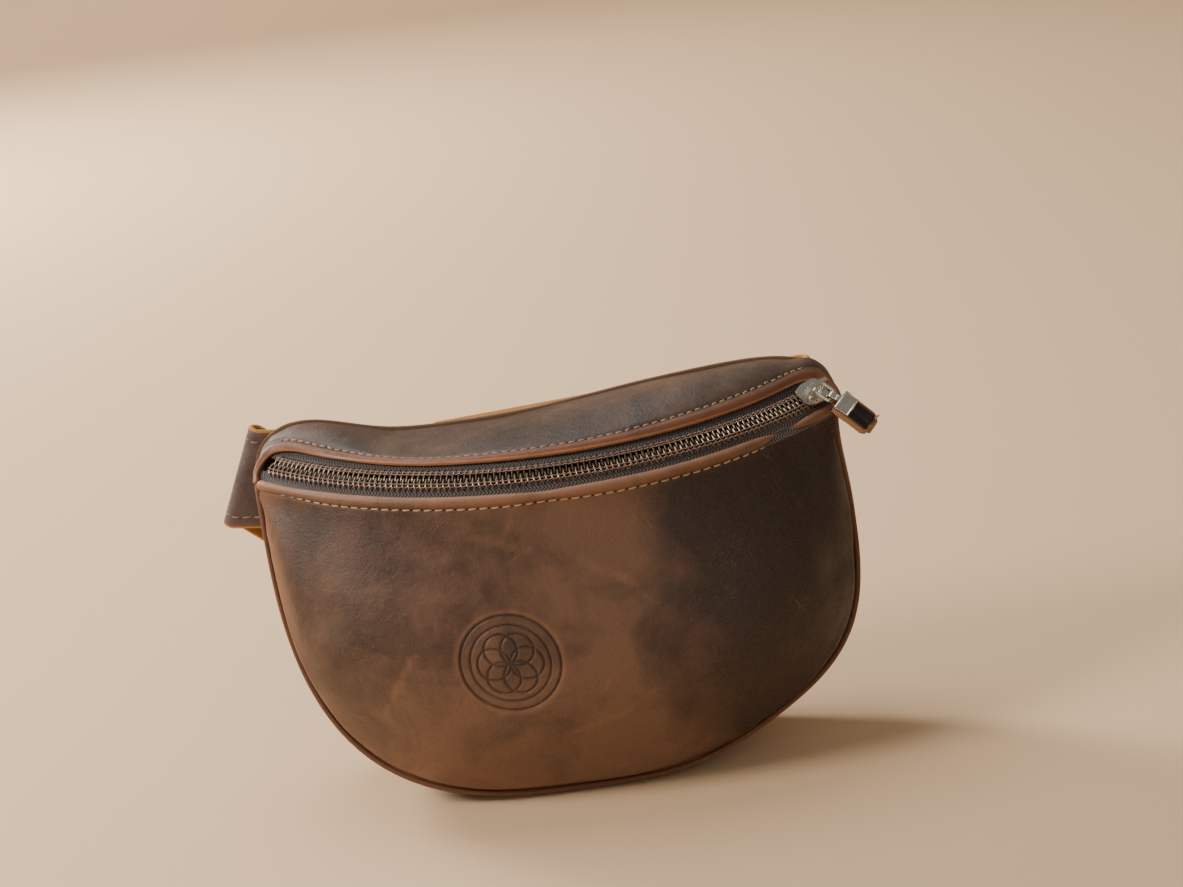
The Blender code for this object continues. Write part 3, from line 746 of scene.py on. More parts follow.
# soft dents and swells: start, end, width and height, in millimetres
HOLLOWS = (((84, 118), (98, 70), 7, -2.6), ((-96, 112), (-90, 80), 9, -1.6),
           ((60, 60), (70, 30), 14, 1.2), ((-4, 112), (26, 82), 9, -1.0))
FRONT_STITCH_BELOW = 4.3 * MM
# the rolled lip in front of the zipper: distance from the chain and height, in millimetres
LIP_PROFILE = ((7.3, 1.2), (7.7, 1.3), (8.1, 1.3), (8.5, 1.2), (8.9, 1.1), (9.3, 0.9), (9.7, 0.6),
               (10.1, 0.3), (10.4, -0.2))


def bulged_grid(side, rows):
    """The half-filled front, from the zipper down to the seam."""
    upper = band_points(side * END_ANGLE, -BAND_HALF - 0.3 * MM, -1 * MM)
    lower = seam_points(side)
    grid = upper[:, None] + (lower - upper)[:, None] * rows[None, :, None]
    swell = np.sin(math.pi * rows ** 1.35)[None, :] * (1 - side ** 4)[:, None]
    grid[..., 1] -= FRONT_BULGE * swell
    return grid


def front_grid():
    """The front panel's surface, and where its columns are, from the right end to the left."""
    width = 2 * HALF_WIDTH
    emblem_u = (HALF_WIDTH - EMBLEM_X) / width
    reach = EMBLEM_RADIUS * 1.12
    columns = dense_steps(width, 0.32 * MM, 1.7 * MM,
                          [(emblem_u * width - reach, emblem_u * width + reach)])
    side = (1 - 2 * columns) * 0.994
    # equal steps across the panel's width, not along its seam
    even = np.linspace(-1, 1, 400)
    mouth_x = HALF_WIDTH * np.sin(even * END_ANGLE) / math.sin(END_ANGLE)
    blend_x = 0.5 * (outline_points(even)[0] + mouth_x)
    side = np.interp(side * HALF_WIDTH, blend_x, even)
    height = 112 * MM
    emblem_v = 52 * MM
    zones = [(0, 6 * MM), (emblem_v - reach, emblem_v + reach), (height - 6 * MM, height)]
    grid = bulged_grid(side, dense_steps(height, 0.4 * MM, 1.7 * MM, zones))
    lip = [band_points(side * END_ANGLE, -a * MM, b * MM) for a, b in LIP_PROFILE]
    grid = np.concatenate([np.stack(lip, axis=1), grid[:, 1:]], axis=1)
    return slouch(grid), side


def make_front():
    grid, side = front_grid()
    run = np.linalg.norm(np.diff(grid, axis=1), axis=2)
    below = np.concatenate([np.zeros((len(side), 1)), np.cumsum(run, axis=1)], axis=1)
    above = below[:, -1:] - below
    x, z = grid[..., 0], grid[..., 2]
    offset = 0.75 * MM * bump(below - 1.9 * MM, 1.9 * MM)
    offset -= 0.38 * MM * bump(below - FRONT_STITCH_BELOW, 0.7 * MM)
    offset -= 2.2 * MM * smooth_step(above, 5.5 * MM, 0)
    offset += 0.5 * MM * bump(above - 6.5 * MM, 2.2 * MM) * (0.6 + 0.4 * np.sin(x * 420))
    # soft hollows of a half-filled bag
    for start, end, broad, height in HOLLOWS:
        near = segment_distance(x, z, np.array(start) * MM, np.array(end) * MM)
        offset += height * MM * bump(near, broad * MM)
    wave = np.sin(x * 61 + 1.3) * np.sin(z * 83 + x * 25) + 0.6 * np.sin(x * 137 + z * 74)
    offset += 0.22 * MM * wave * smooth_step(below, 6 * MM, 20 * MM)
    wear = 0.75 * bump(below - 0.2 * MM, 1.9 * MM) + 0.28 * bump(below - 3 * MM, 2 * MM)
    wear += 0.6 * smooth_step(above, 4.5 * MM, 0.5 * MM) * smooth_step(x, 60 * MM, -60 * MM)
    wear += 0.25 * smooth_step(above, 22 * MM, 0) * smooth_step(x, 10 * MM, -50 * MM)
    wear += 0.35 * bump(x + 105 * MM, 5 * MM)
    for start, end, broad, strength in CREASES:
        near = segment_distance(x, z, np.array(start) * MM, np.array(end) * MM)
        wear += 0.5 * strength * bump(near, 0.8 * broad * MM)
        offset -= 0.12 * MM * bump(near, broad * MM)
    centre = np.unravel_index(np.argmin((x - EMBLEM_X) ** 2 + (z - EMBLEM_Z) ** 2), x.shape)
    a = x - x[centre]
    b = -(below - below[centre])
    press_and_groove_shade = emblem_depth(a, b)
    offset -= 0.55 * MM * press_and_groove_shade
    from_centre = np.hypot(a, b) - EMBLEM_RADIUS
    offset -= 0.22 * MM * smooth_step(from_centre, 0.9 * MM, -0.4 * MM)
    # the emblem and the stitch groove are darkened in colour: compressed leather, and painted shade
    # in the grooves
    press_and_groove_shade = np.maximum(press_and_groove_shade * 0.9, 0.35 * bump(below - FRONT_STITCH_BELOW, 0.5 * MM))
    wear += 0.3 * bump(from_centre - 1.2 * MM, 0.8 * MM)
    # tone across the front, partly painted shade: the right side, turned away from the key light,
    # is painted much darker; the smaller patches vary the tone
    tone_and_painted_shade = 0.02 + 0.10 * bump(x - 5 * MM, 45 * MM) - 0.42 * smooth_step(x, 15 * MM, 75 * MM)
    tone_and_painted_shade += 0.05 * smooth_step(z, 60 * MM, 15 * MM)
    tone_and_painted_shade -= 0.11 * bump(np.hypot(x + 72 * MM, 0.8 * (z - 98 * MM)), 30 * MM)
    tone_and_painted_shade += 0.08 * bump(np.hypot(x - 12 * MM, z - 92 * MM), 22 * MM)
    tone_and_painted_shade -= 0.06 * bump(np.hypot(x + 6 * MM, 0.6 * (z - 60 * MM)), 12 * MM)
    grid = grid + grid_normals(grid) * offset[..., None]
    cover = thick_sheet("front_cover", grid, LEATHER, (FRONT_LEATHER, EDGE_ROLLED, FLESH),
                        wear=np.clip(wear, 0, 1), press_and_groove_shade=press_and_groove_shade, tone_and_painted_shade=tone_and_painted_shade)
    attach(cover, "pack")
    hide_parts("front_panel")
    row = int(np.argmin(np.abs(below[len(side) // 2] - FRONT_STITCH_BELOW)))
    line = grid[:, row]
    normal = grid_normals(grid)[:, row]
    sewn("front_stitches", line[2:-2], normal[2:-2])


# ---------------------------------------------------------------- stitches

# each kind of stitch: pitch, length and thread radius
SADDLE_STITCH = (4.0 * MM, 3.1 * MM, 0.33 * MM)
TOP_STITCH = (3.4 * MM, 2.3 * MM, 0.27 * MM)
STRAP_STITCH = (4.2 * MM, 3.2 * MM, 0.33 * MM)
HOLE_SIDES = 8
# an awl hole's near-black disc, painted shade for the inside of the hole: its rings' radius and
# height, in millimetres
HOLE_PROFILE = ((0.2, 0.13), (0.42, 0.11), (0.52, 0.0), (0.42, -0.1), (0.2, -0.13))


def stitch_row(name, line, normal, pitch, length, radius, finish, holes=False):
    """Short thread stitches along a line, each dipping into the leather at both ends."""
    lift = 0.12 * MM
    tilt = 0.1
    reach = np.concatenate([[0], np.cumsum(np.linalg.norm(np.diff(line, axis=0), axis=1))])
    count = int(reach[-1] / pitch)
    start = (reach[-1] - count * pitch) / 2
    parts = []
    dots = []
    ease = np.linspace(-0.5, 0.5, 7)
    rng = random.Random(5)

    def at(distance):
        point = np.array([np.interp(distance, reach, line[:, k]) for k in range(3)])
        up = unit(np.array([np.interp(distance, reach, normal[:, k]) for k in range(3)]))
        return point, up

    for k in range(count):
        middle = start + (k + 0.5) * pitch
        path = []
        _, up = at(middle)
        ahead = unit(at(middle + pitch / 4)[0] - at(middle - pitch / 4)[0])
        side = np.cross(up, ahead)
        sway = tilt * (0.8 + 0.4 * rng.random())
        for e in ease:
            point, up = at(middle + e * length)
            arch = lift - (2 * abs(e)) ** 4 * (lift + radius * 0.9)
            path.append(point + up * arch + side * (e * length * sway))
        thin = radius * (1 - 0.3 * (2 * np.abs(ease)) ** 3)
        parts.append(tube_rings(path, thin, 7))
        point, up = at(start + k * pitch)
        dots.append((point, up, ahead))
    pieces = [add_piece(name, *join_parts(parts), [finish])]
    # each awl hole is a closed near-black disc on the surface: painted shade for the inside of the
    # hole
    if holes:
        rings = []
        for point, up, ahead in dots:
            side = np.cross(up, ahead)
            turns = np.linspace(0, 2 * math.pi, HOLE_SIDES, endpoint=False)
            layers = []
            for size, depth in HOLE_PROFILE:
                ring = point + up * (depth * MM + 0.03 * MM)
                layers.append(ring + size * MM * (np.outer(np.cos(turns), ahead)
                                                  + 0.8 * np.outer(np.sin(turns), side)))
            ring_faces = []
            total = HOLE_SIDES * len(HOLE_PROFILE)
            for low in range(0, total - HOLE_SIDES, HOLE_SIDES):
                high = low + HOLE_SIDES
                for n in range(HOLE_SIDES):
                    m = (n + 1) % HOLE_SIDES
                    ring_faces.append((low + n, high + n, high + m, low + m))
            ring_faces.append(tuple(range(HOLE_SIDES)))
            ring_faces.append(tuple(range(total - HOLE_SIDES, total))[::-1])
            rings.append((np.vstack(layers), ring_faces))
        pieces.append(add_piece(name + "_painted_hole_shade", *join_parts(rings), [HOLE_PAINTED_SHADE]))
    return pieces


def sewn(name, line, normal):
    """A row of saddle stitches through the pack's leather, with its awl holes painted as near-black
    discs of shade.
    """
    for piece in stitch_row(name, line, normal, *SADDLE_STITCH, CREAM_THREAD, holes=True):
        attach(piece, "pack")


# ---------------------------------------------------------------- gusset and back

SEAM_END = 0.999


def gusset_grid(side, rows):
    seam = seam_points(side) + Y_AXIS * 0.6 * MM
    x, z, _ = outline_points(side, HALF_WIDTH - 1 * MM)
    back = np.column_stack([x, np.full_like(x, BACK_FACE - 0.3 * MM), z])
    grid = seam[:, None] + (back - seam)[:, None] * rows[None, :, None]
    swell = np.sin(math.pi * rows)[None, :]
    steep = (np.abs(x / HALF_WIDTH) ** (OUTLINE_POWER - 1))[:, None]
    grid[..., 0] += np.sign(x)[:, None] * steep * 2.5 * MM * swell
    grid[..., 2] -= (1 - steep) * 7 * MM * swell
    grid[..., 2] = np.maximum(grid[..., 2], 0.12 * MM)
    return slouch(grid)


def make_gusset():
    side = np.linspace(SEAM_END, -SEAM_END, 260)
    rows = np.linspace(0, 1, 44)
    grid = gusset_grid(side, rows)
    x, y, z = grid[..., 0], grid[..., 1], grid[..., 2]
    ripple = np.sin(x * 210 + z * 190) * bump(rows, 0.16)
    ripple += np.sin(x * 170 - z * 240) * bump(1 - rows, 0.14)
    lifted = smooth_step(z, 1 * MM, 8 * MM)
    offset = 0.35 * MM * ripple * lifted - 1.4 * MM * bump(rows, 0.05)
    wear = 0.55 * bump(rows, 0.05) + 0.5 * bump(1 - rows, 0.04)
    wear = wear + 0.2 * smooth_step(z, 3 * MM, 0)
    grid = grid + grid_normals(grid) * offset[..., None]
    grid[..., 2] = np.maximum(grid[..., 2], 0.1 * MM)
    cover = thick_sheet("gusset_cover", grid, LEATHER - 0.3 * MM,
                        (GUSSET_LEATHER, EDGE_DARK, FLESH), wear=np.clip(wear, 0, 1))
    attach(cover, "pack")
    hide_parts("bottom_gusset")
    side = np.linspace(SEAM_END, -SEAM_END, 220)
    welt = slouch(seam_points(side)) + np.array([0, 0.5 * MM, 0.4 * MM])
    drop = outline_points(side)[2]
    away = np.column_stack([np.sign(welt[:, 0]) * (1 - drop), np.full(len(side), -0.2), -drop])
    verts, faces = tube_rings(welt - unit(away) * 0.3 * MM, 1.05 * MM, 10)
    piping = add_piece("bottom_welt", verts, faces, [EDGE_DARK])
    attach(piping, "pack")


def back_grid(margin=0.0, columns=150, rows=90):
    """The back panel seen from behind, from its right edge to its left, and from the foot up."""
    half = HALF_WIDTH + 1 * MM - margin
    corner = 99 * MM
    turn = np.linspace(1, -1, columns)
    x = half * np.sin(turn * math.pi / 2)
    level = np.abs(x) / half
    bottom = ZIP_END_HEIGHT - (ZIP_END_HEIGHT - SEAM_HEIGHT - margin) * (1 - level ** 3) ** (1 / 3)
    rounding = np.clip((np.abs(x) - (corner - 6 * MM)) / (half - corner + 6 * MM), 0, 1)
    top = back_top(x) - margin
    top = ZIP_END_HEIGHT + 1 * MM + (top - ZIP_END_HEIGHT - 1 * MM) * np.sqrt(1 - rounding ** 2)
    t = np.linspace(0, 1, rows)
    z = bottom[:, None] + (top - bottom)[:, None] * t[None, :]
    grid = np.zeros(z.shape + (3,))
    grid[..., 0] = x[:, None]
    grid[..., 2] = z
    return slouch(grid)


def make_back():
    grid = back_grid()
    x, z = grid[..., 0], grid[..., 2]
    grid[..., 1] = BACK_FACE + 2.3 * MM + 0.2 * MM * np.sin(x * 55) * np.sin(z * 70)
    column, row = np.indices(x.shape)
    edge = np.minimum(1.2 * np.minimum(column, len(x) - 1 - column),
                      1.4 * np.minimum(row, x.shape[1] - 1 - row))
    wear = 0.6 * bump(edge, 1.2)
    cover = thick_sheet("back_cover", grid, STRAP_THICKNESS, (FRONT_LEATHER, EDGE_BACK, FLESH),
                        wear=wear, tone_and_painted_shade=0.03 * np.sin(x * 30 + 2) - 0.03)
    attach(cover, "pack")
    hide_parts("back_panel")
    inner = back_grid(4.2 * MM)
    inner[..., 1] = BACK_FACE + 2.3 * MM
    loop = np.vstack([inner[:, 0], inner[-1, 1:], inner[::-1, -1][1:], inner[0, ::-1][1:-1]])
    loop = loop[np.concatenate([[True], np.linalg.norm(np.diff(loop, axis=0), axis=1) > 0.2 * MM])]
    up = np.tile(Y_AXIS, (len(loop), 1))
    sewn("back_stitches", loop, up)


# ---------------------------------------------------------------- top panel

TOP_STITCH_BEHIND = 4.6 * MM
TOP_CREASES = (((-40, -12), (-15, 4), 2, 0.3), ((10, -6), (44, 4), 1.6, 0.25))


def lid_piece(obj):
    """A soft piece, sewn down at its ends and along its back, that lifts in the middle on the real
    pack; its placement is only baked into its mesh.
    """
    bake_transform(obj)


def top_rims(columns):
    """The top panel's front rim, round both ends of the zipper, and its back rim."""
    end = math.degrees(END_ANGLE)
    left = [(-end - 0.1, -8.4), (-end - 0.9, -5.0), (-end - 1.15, -2.0), (-end - 1.0, 1.8),
            (-end - 0.3, 4.8), (-end + 1.6, 6.8), (-end + 4.2, 7.6)]
    middle = [(a, 7.5 - 0.6 * math.exp(-((a + 20) / 9) ** 2)) for a in range(-34, 35, 4)]
    right = [(-a, b) for a, b in left[::-1]]
    curve = smooth_curve([(a * 2.6, b) for a, b in left + middle + right], columns)
    front = band_points(np.radians(curve[:, 0] / 2.6), curve[:, 1] * MM, 1.5 * MM)
    side = [(-107.3, 121.5), (-107.0, 125), (-105.6, 129.3), (-103, 132.6), (-99, 135)]
    back = side + [(x, back_top(x * MM) / MM) for x in range(-92, 93, 8)]
    back += [(-a, b + 1.5) for a, b in side[::-1]]
    curve = smooth_curve(back, columns) * MM
    depth = np.full(columns, BACK_FACE + 0.1 * MM)
    return front, np.column_stack([curve[:, 0], depth, curve[:, 1]])


def make_top():
    columns = 250
    front, back = top_rims(columns)
    rows = dense_steps(44 * MM, 0.45 * MM, 1.6 * MM, [(0, 8 * MM), (41 * MM, 44 * MM)])
    grid = front[:, None] + (back - front)[:, None] * rows[None, :, None]
    reach = np.linalg.norm(back - front, axis=1)[:, None]
    behind = reach * rows[None, :]
    x = grid[..., 0]
    full = np.clip(reach / (42 * MM), 0, 1)
    crown = np.sin(math.pi * rows)[None, :] * full
    lift = 3.4 + 2.2 * smooth_step(x, 0, 70 * MM) - 3.0 * bump(x + 48 * MM, 30 * MM)
    grid[..., 2] += lift * MM * crown
    y = grid[..., 1]
    offset = 0.9 * MM * bump(behind - 1.7 * MM, 1.8 * MM)
    offset -= 0.42 * MM * bump(behind - TOP_STITCH_BEHIND, 0.9 * MM)
    wave = np.sin(x * 70 + 0.6) * np.sin(y * 120) + 0.5 * np.sin(x * 160 + y * 60)
    offset += 0.2 * MM * wave * smooth_step(behind, 6 * MM, 16 * MM)
    wear = 0.95 * smooth_step(behind, 3.4 * MM, 2.2 * MM) + 0.2 * bump(behind - 4 * MM, 1.5 * MM)
    wear += 0.35 * smooth_step(reach - behind, 3 * MM, 0)
    for start, end, broad, strength in TOP_CREASES:
        near = segment_distance(x, y, np.array(start) * MM, np.array(end) * MM)
        wear += strength * bump(near, broad * MM)
    grid = grid + grid_normals(grid) * offset[..., None]
    # the stitch groove is darkened in colour, as compressed leather and painted shade; the tone is
    # lighter towards the right
    cover = thick_sheet("top_cover", grid, LEATHER, (TOP_LEATHER, EDGE_ROLLED, FLESH),
                        wear=np.clip(wear, 0, 1),
                        press_and_groove_shade=0.5 * bump(behind - TOP_STITCH_BEHIND, 0.6 * MM),
                        tone_and_painted_shade=0.10 * smooth_step(x, 0, 60 * MM) - 0.05 * bump(x, 25 * MM))
    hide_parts("top_panel")
    lid_piece(cover)
    near = np.argmin(np.abs(behind - TOP_STITCH_BEHIND), axis=1)
    line = grid[np.arange(columns), near]
    up = grid_normals(grid)[np.arange(columns), near]
    keep = slice(18, columns - 18)
    for piece in stitch_row("top_stitches", line[keep], up[keep], *TOP_STITCH, CREAM_THREAD,
                            holes=True):
        lid_piece(piece)


# ---------------------------------------------------------------- zipper

def band_sheet(name, near, far, sag, finish):
    """One tape: a thin cloth strip along the band."""
    angle = np.linspace(-END_ANGLE - 0.008, END_ANGLE + 0.008, 240)
    across = np.sort(np.linspace(near, far, 14))
    out = 0.3 * MM - sag * (across - near) / (far - near)
    grid = np.stack([band_points(angle, a, b) for a, b in zip(across, out)], axis=1)
    along = angle[:, None] * ARC_RADIUS * 1000 * np.ones_like(across)[None, :]
    uvs = np.stack([along, across[None, :] * 1000 * np.ones_like(along)], axis=-1)
    return thick_sheet(name, grid, 0.7 * MM, (finish, finish, finish), uvs=uvs, rim=2)


# one turn of the coil: across the chain, along it and out of it, in millimetres
TOOTH_PROFILE = ((4.15, 0.95, 0.35), (3.6, 0.72, 0.9), (2.9, 0.35, 1.22), (2.2, 0.08, 1.36),
                 (1.2, 0.0, 1.36), (0.2, 0.0, 1.3), (-0.5, 0.0, 1.05), (-0.86, 0.0, 0.5),
                 (-0.86, 0.0, -0.35), (-0.4, 0.05, -0.95), (0.8, 0.15, -1.15), (2.6, 0.4, -1.1))


def tooth_path(angle, sign):
    """One turn of the coil: a slanted tail, a bar over the tape, a head and the bar beneath."""
    points = []
    for across_by, along_by, out_by in TOOTH_PROFILE:
        place = angle + along_by * MM / ARC_RADIUS
        points.append(band_points(place, sign * across_by * MM, out_by * MM)[0])
    return smooth_curve(points, 17)


def make_teeth(name, sign, phase):
    count = int(2 * END_ANGLE * ARC_RADIUS / TOOTH_PITCH) - 1
    step = TOOTH_PITCH / ARC_RADIUS
    first = -step * (count - 1) / 2 + phase * step
    parts = []
    lines = []
    for k in range(count):
        angle = first + k * step
        parts.append(tube_rings(tooth_path(angle, sign), 0.36 * MM, 6))
        for across_by, height in ((3.05, 1.35), (1.95, 1.62)):
            places = angle + np.array([-0.42, -0.2, 0.15, 0.5]) * step
            heights = (height + np.array([-0.35, 0.12, 0.12, -0.35])) * MM
            path = band_points(places, sign * across_by * MM, heights)
            lines.append(tube_rings(path, 0.2 * MM, 5))
    teeth = add_piece(name, *join_parts(parts), [TOOTH])
    sewing = add_piece(name + "_sewing", *join_parts(lines), [ROSE_THREAD])
    return teeth, sewing


def make_zipper():
    lower = band_sheet("lower_tape_cloth", -3.2 * MM, -9.6 * MM, 1.3 * MM, TAPE)
    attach(lower, "pack")
    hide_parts("lower_tape")
    upper = band_sheet("upper_tape_cloth", 3.2 * MM, 9.6 * MM, 1.3 * MM, TAPE)
    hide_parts("upper_tape", "upper_tape_left_end", "upper_tape_right_end")
    lid_piece(upper)
    teeth, sewing = make_teeth("lower_teeth", -1, 0.0)
    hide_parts("lower_coil")
    for piece in (teeth, sewing):
        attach(piece, "pack")
    teeth, sewing = make_teeth("upper_teeth", 1, 0.5)
    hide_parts("upper_coil", "upper_coil_left_end", "upper_coil_right_end")
    for piece in (teeth, sewing):
        lid_piece(piece)


# ---------------------------------------------------------------- slider and pull

def rounded_outline(points, radius, steps=4):
    """A polygon with its corners rounded."""
    pts = np.array(points, float)
    made = []
    for before, here, after in zip(np.roll(pts, 1, axis=0), pts, np.roll(pts, -1, axis=0)):
        start = here + unit(before - here) * min(radius, np.linalg.norm(before - here) * 0.45)
        end = here + unit(after - here) * min(radius, np.linalg.norm(after - here) * 0.45)
        for k in range(steps + 1):
            t = k / steps
            made.append(tuple((1 - t) ** 2 * start + 2 * t * (1 - t) * here + t * t * end))
    return made


def make_slider():
    centre = band_points(SLIDER_ANGLE, 0)[0]
    _, tangent, across, outward = (axis[0] for axis in zip_axes(SLIDER_ANGLE))
    plate = rounded_outline(np.array([(-6.4, -3.2), (-6.4, 3.2), (-1.5, 5.0), (6.4, 5.0),
                                      (6.4, -5.0), (-1.5, -5.0)]) * MM, 1.6 * MM)
    parts = []

    def slab(outline, low, high):
        parts.append(prism_part(outline, centre, tangent, across, outward, low * MM, high * MM))

    slab(plate, 2.0, 3.2)
    slab(plate, -3.2, -2.0)
    for side in (-1, 1):
        lip = np.array([(-3, 4.2), (6.0, 4.2), (6.0, 4.9), (-1.5, 4.9), (-3, 4.3)]) * MM * (1, side)
        slab(lip, 0.95, 2.2)
        slab(lip, -2.2, -0.95)
    web = rounded_outline(np.array([(0.5, 0), (4.5, 0.6), (6.3, 0), (4.5, -0.6)]) * MM, 0.3 * MM)
    slab(web, -2.1, 2.1)
    arch = smooth_curve([(-4.6, 2.9), (-4.0, 4.6), (-2.6, 6.9), (-0.6, 8.05), (3.0, 8.05),
                         (5.2, 7.6), (6.0, 5.6), (6.1, 2.9)], 26) * MM
    ribbon = ribbon_outline(arch, 0.55 * MM)
    parts.append(prism_part(ribbon, centre, tangent, outward, across, -0.8 * MM, 0.8 * MM))
    body = metal_piece("slider_metal", parts, NICKEL, sharp=30)
    soften(body, 0.22 * MM, 2)
    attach(body, "slider")
    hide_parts("slider_body")


TAB_HALF_WIDTH = 4.3 * MM


def pull_axes():
    """The pull's two hinge points and its length, width and thickness directions."""
    hinge = np.array(JOINTS["pull_link_swing"]["pos_m"])
    width = unit(-np.array(JOINTS["pull_link_swing"]["axis"]))
    far = np.array(JOINTS["pull_tab_swing"]["pos_m"])
    along = unit(far - hinge)
    return hinge, far, along, width, np.cross(along, width)


def box_outline(half_length, half_width):
    return [(half_length, half_width), (-half_length, half_width),
            (-half_length, -half_width), (half_length, -half_width)]


def make_pull():
    hinge, far, along, width, thick = pull_axes()
    half_length = np.linalg.norm(far - hinge) / 2
    middle = (hinge + far) / 2
    outline = rounded_outline(box_outline(half_length, 2.5 * MM), 1.1 * MM, 6)
    path = np.array([middle + along * a + width * b for a, b in outline])
    link = metal_piece("link_wire", [tube_rings(path, 0.7 * MM, 14, closed=True)], NICKEL)
    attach(link, "link")
    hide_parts("pull_link")

    eye = [(1.35 * math.cos(t), 1.35 * math.sin(t)) for t in np.radians(np.linspace(50, 310, 22))]
    profile = [(8.8, 1.8), (2.8, 1.8), (1.6, 1.4)] + eye + [(1.6, -1.4), (2.8, -1.8), (8.8, -1.8)]
    centreline = smooth_curve(profile, 60) * MM
    ribbon = ribbon_outline(centreline, 0.3 * MM)
    parts = [prism_part(ribbon, far, along, thick, width, -1.3 * MM, 1.3 * MM)]
    for sign in (-1, 1):
        turn = np.linspace(-1, 1, 11)
        height = sign * (1.65 + 0.25 * (1 - turn ** 2)) * MM
        curve = np.column_stack([turn * TAB_HALF_WIDTH, height])
        rim = np.vstack([curve, curve[::-1] + (0, sign * 0.45 * MM)])
        parts.append(prism_part(rim, far, width, thick, along, 2.9 * MM, 8.6 * MM))
        for place in (8.3, 3.2):
            path = [far + width * a + thick * (b + sign * 0.35 * MM) + along * place * MM
                    for a, b in curve]
            parts.append(tube_rings(path, 0.32 * MM, 8))
    for side in (-1, 1):
        wall = np.array([(4.05, -2.2), (4.6, -2.2), (4.6, 2.2), (4.05, 2.2)]) * MM * (side, 1)
        parts.append(prism_part(wall, far, width, thick, along, 3.1 * MM, 5.2 * MM))
    ferrule = metal_piece("ferrule_metal", parts, NICKEL)
    soften(ferrule, 0.12 * MM, 2)
    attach(ferrule, "pull")
    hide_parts("pull_ferrule")

    tab_end = 17.6 * MM
    lengths = np.linspace(4.0 * MM, tab_end, 36)
    widths = np.linspace(-TAB_HALF_WIDTH, TAB_HALF_WIDTH, 22)
    a, b = np.meshgrid(lengths, widths, indexing="ij")
    corner = smooth_step(a, tab_end - 2 * MM, tab_end) * 1.4 * MM
    b = b * (1 - corner / TAB_HALF_WIDTH * np.abs(b / TAB_HALF_WIDTH) ** 3)
    crown = 0.35 * MM * (1 - (b / TAB_HALF_WIDTH) ** 2) + 0.28 * MM * bump(b, 0.5 * MM)
    curl = 0.5 * MM * ((a - 4 * MM) / (13 * MM)) ** 2
    height = 1.3 * MM + crown - curl
    grid = far + along * a[..., None] + width * b[..., None] + thick * height[..., None]
    edge = np.minimum(TAB_HALF_WIDTH - np.abs(b), tab_end - a)
    tab = thick_sheet("tab_leather_strip", grid, 2.6 * MM, (TAB_FACE, TAB_EDGE, TAB_FACE),
                      wear=smooth_step(edge, 0.9 * MM, 0.3 * MM))
    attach(tab, "pull")
    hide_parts("pull_tab")


# ---------------------------------------------------------------- belt

STRAP_FINISH = (STRAP_LEATHER, EDGE_GOLD, SUEDE)
STRAP_HALF = STRAP_WIDTH / 2 - 0.3 * MM
STRAP_SHARE = np.linspace(-1, 1, 17)
STRAP_SHARE = np.sign(STRAP_SHARE) * np.abs(STRAP_SHARE) ** 0.8
STRAP_EDGE = STRAP_HALF * (1 - np.abs(STRAP_SHARE))
GROUND = np.array([1, 0, 1])


def strap_stitches(name, grid):
    """The stitch rows near both edges of a strap."""
    up = grid_normals(grid)
    pieces = []
    for index, place in enumerate((2, -3)):
        pieces += stitch_row(f"{name}_stitches_{index + 1}", grid[:, place], up[:, place],
                             *STRAP_STITCH, ROSE_THREAD)
    return pieces


def belt_piece(name, points, width, replaced, end_cut=None):
    """A fold of the belt: leather, edge stitches and the bend, all baked in place."""
    heading = unit(np.gradient(points, axis=0))
    normals = unit(np.cross(width, heading))
    inside_out = normals[2] @ Y_AXIS > 0
    if inside_out:
        normals = -normals
    grid = (points + normals * STRAP_THICKNESS / 2)[:, None]
    grid = grid + width * (STRAP_SHARE * STRAP_HALF)[None, :, None]
    soft = smooth_step(STRAP_EDGE, 1.5 * MM, 0) + bump(STRAP_EDGE - 3.6 * MM, 0.9 * MM)
    grid = grid - normals[:, None] * (0.25 * MM * soft)[None, :, None]
    if end_cut is not None:
        grid = end_cut(grid)
    facing = np.cross(grid[1, 0] - grid[0, 0], grid[0, 1] - grid[0, 0])
    if inside_out or facing @ normals[0] < 0:
        grid = grid[:, ::-1]
    strap = thick_sheet(name, grid, STRAP_THICKNESS, STRAP_FINISH,
                        wear=0.55 * bump(STRAP_EDGE, 0.9 * MM), joined_ends=end_cut is None)
    for piece in [strap] + strap_stitches(name, grid):
        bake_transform(piece)
    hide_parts(*replaced)


def left_axes():
    """The left belt's fold point, fold line, and the ways its run and its wing point."""
    fold = np.array(JOINTS["left_belt_unfold"]["pos_m"])
    line = -np.array(JOINTS["left_belt_unfold"]["axis"])
    run = np.array(JOINTS["keeper_slide"]["axis"])
    wing = 2 * np.dot(run, line) * line - run
    return fold, unit(line), unit(run), unit(wing)


def outer_face(middle, outward, place, thickness):
    """The face half a thickness off a middle grid, on the side that looks outward at a place."""
    if grid_normals(middle)[place] @ outward < 0:
        middle = middle[:, ::-1]
    return middle + grid_normals(middle) * thickness / 2


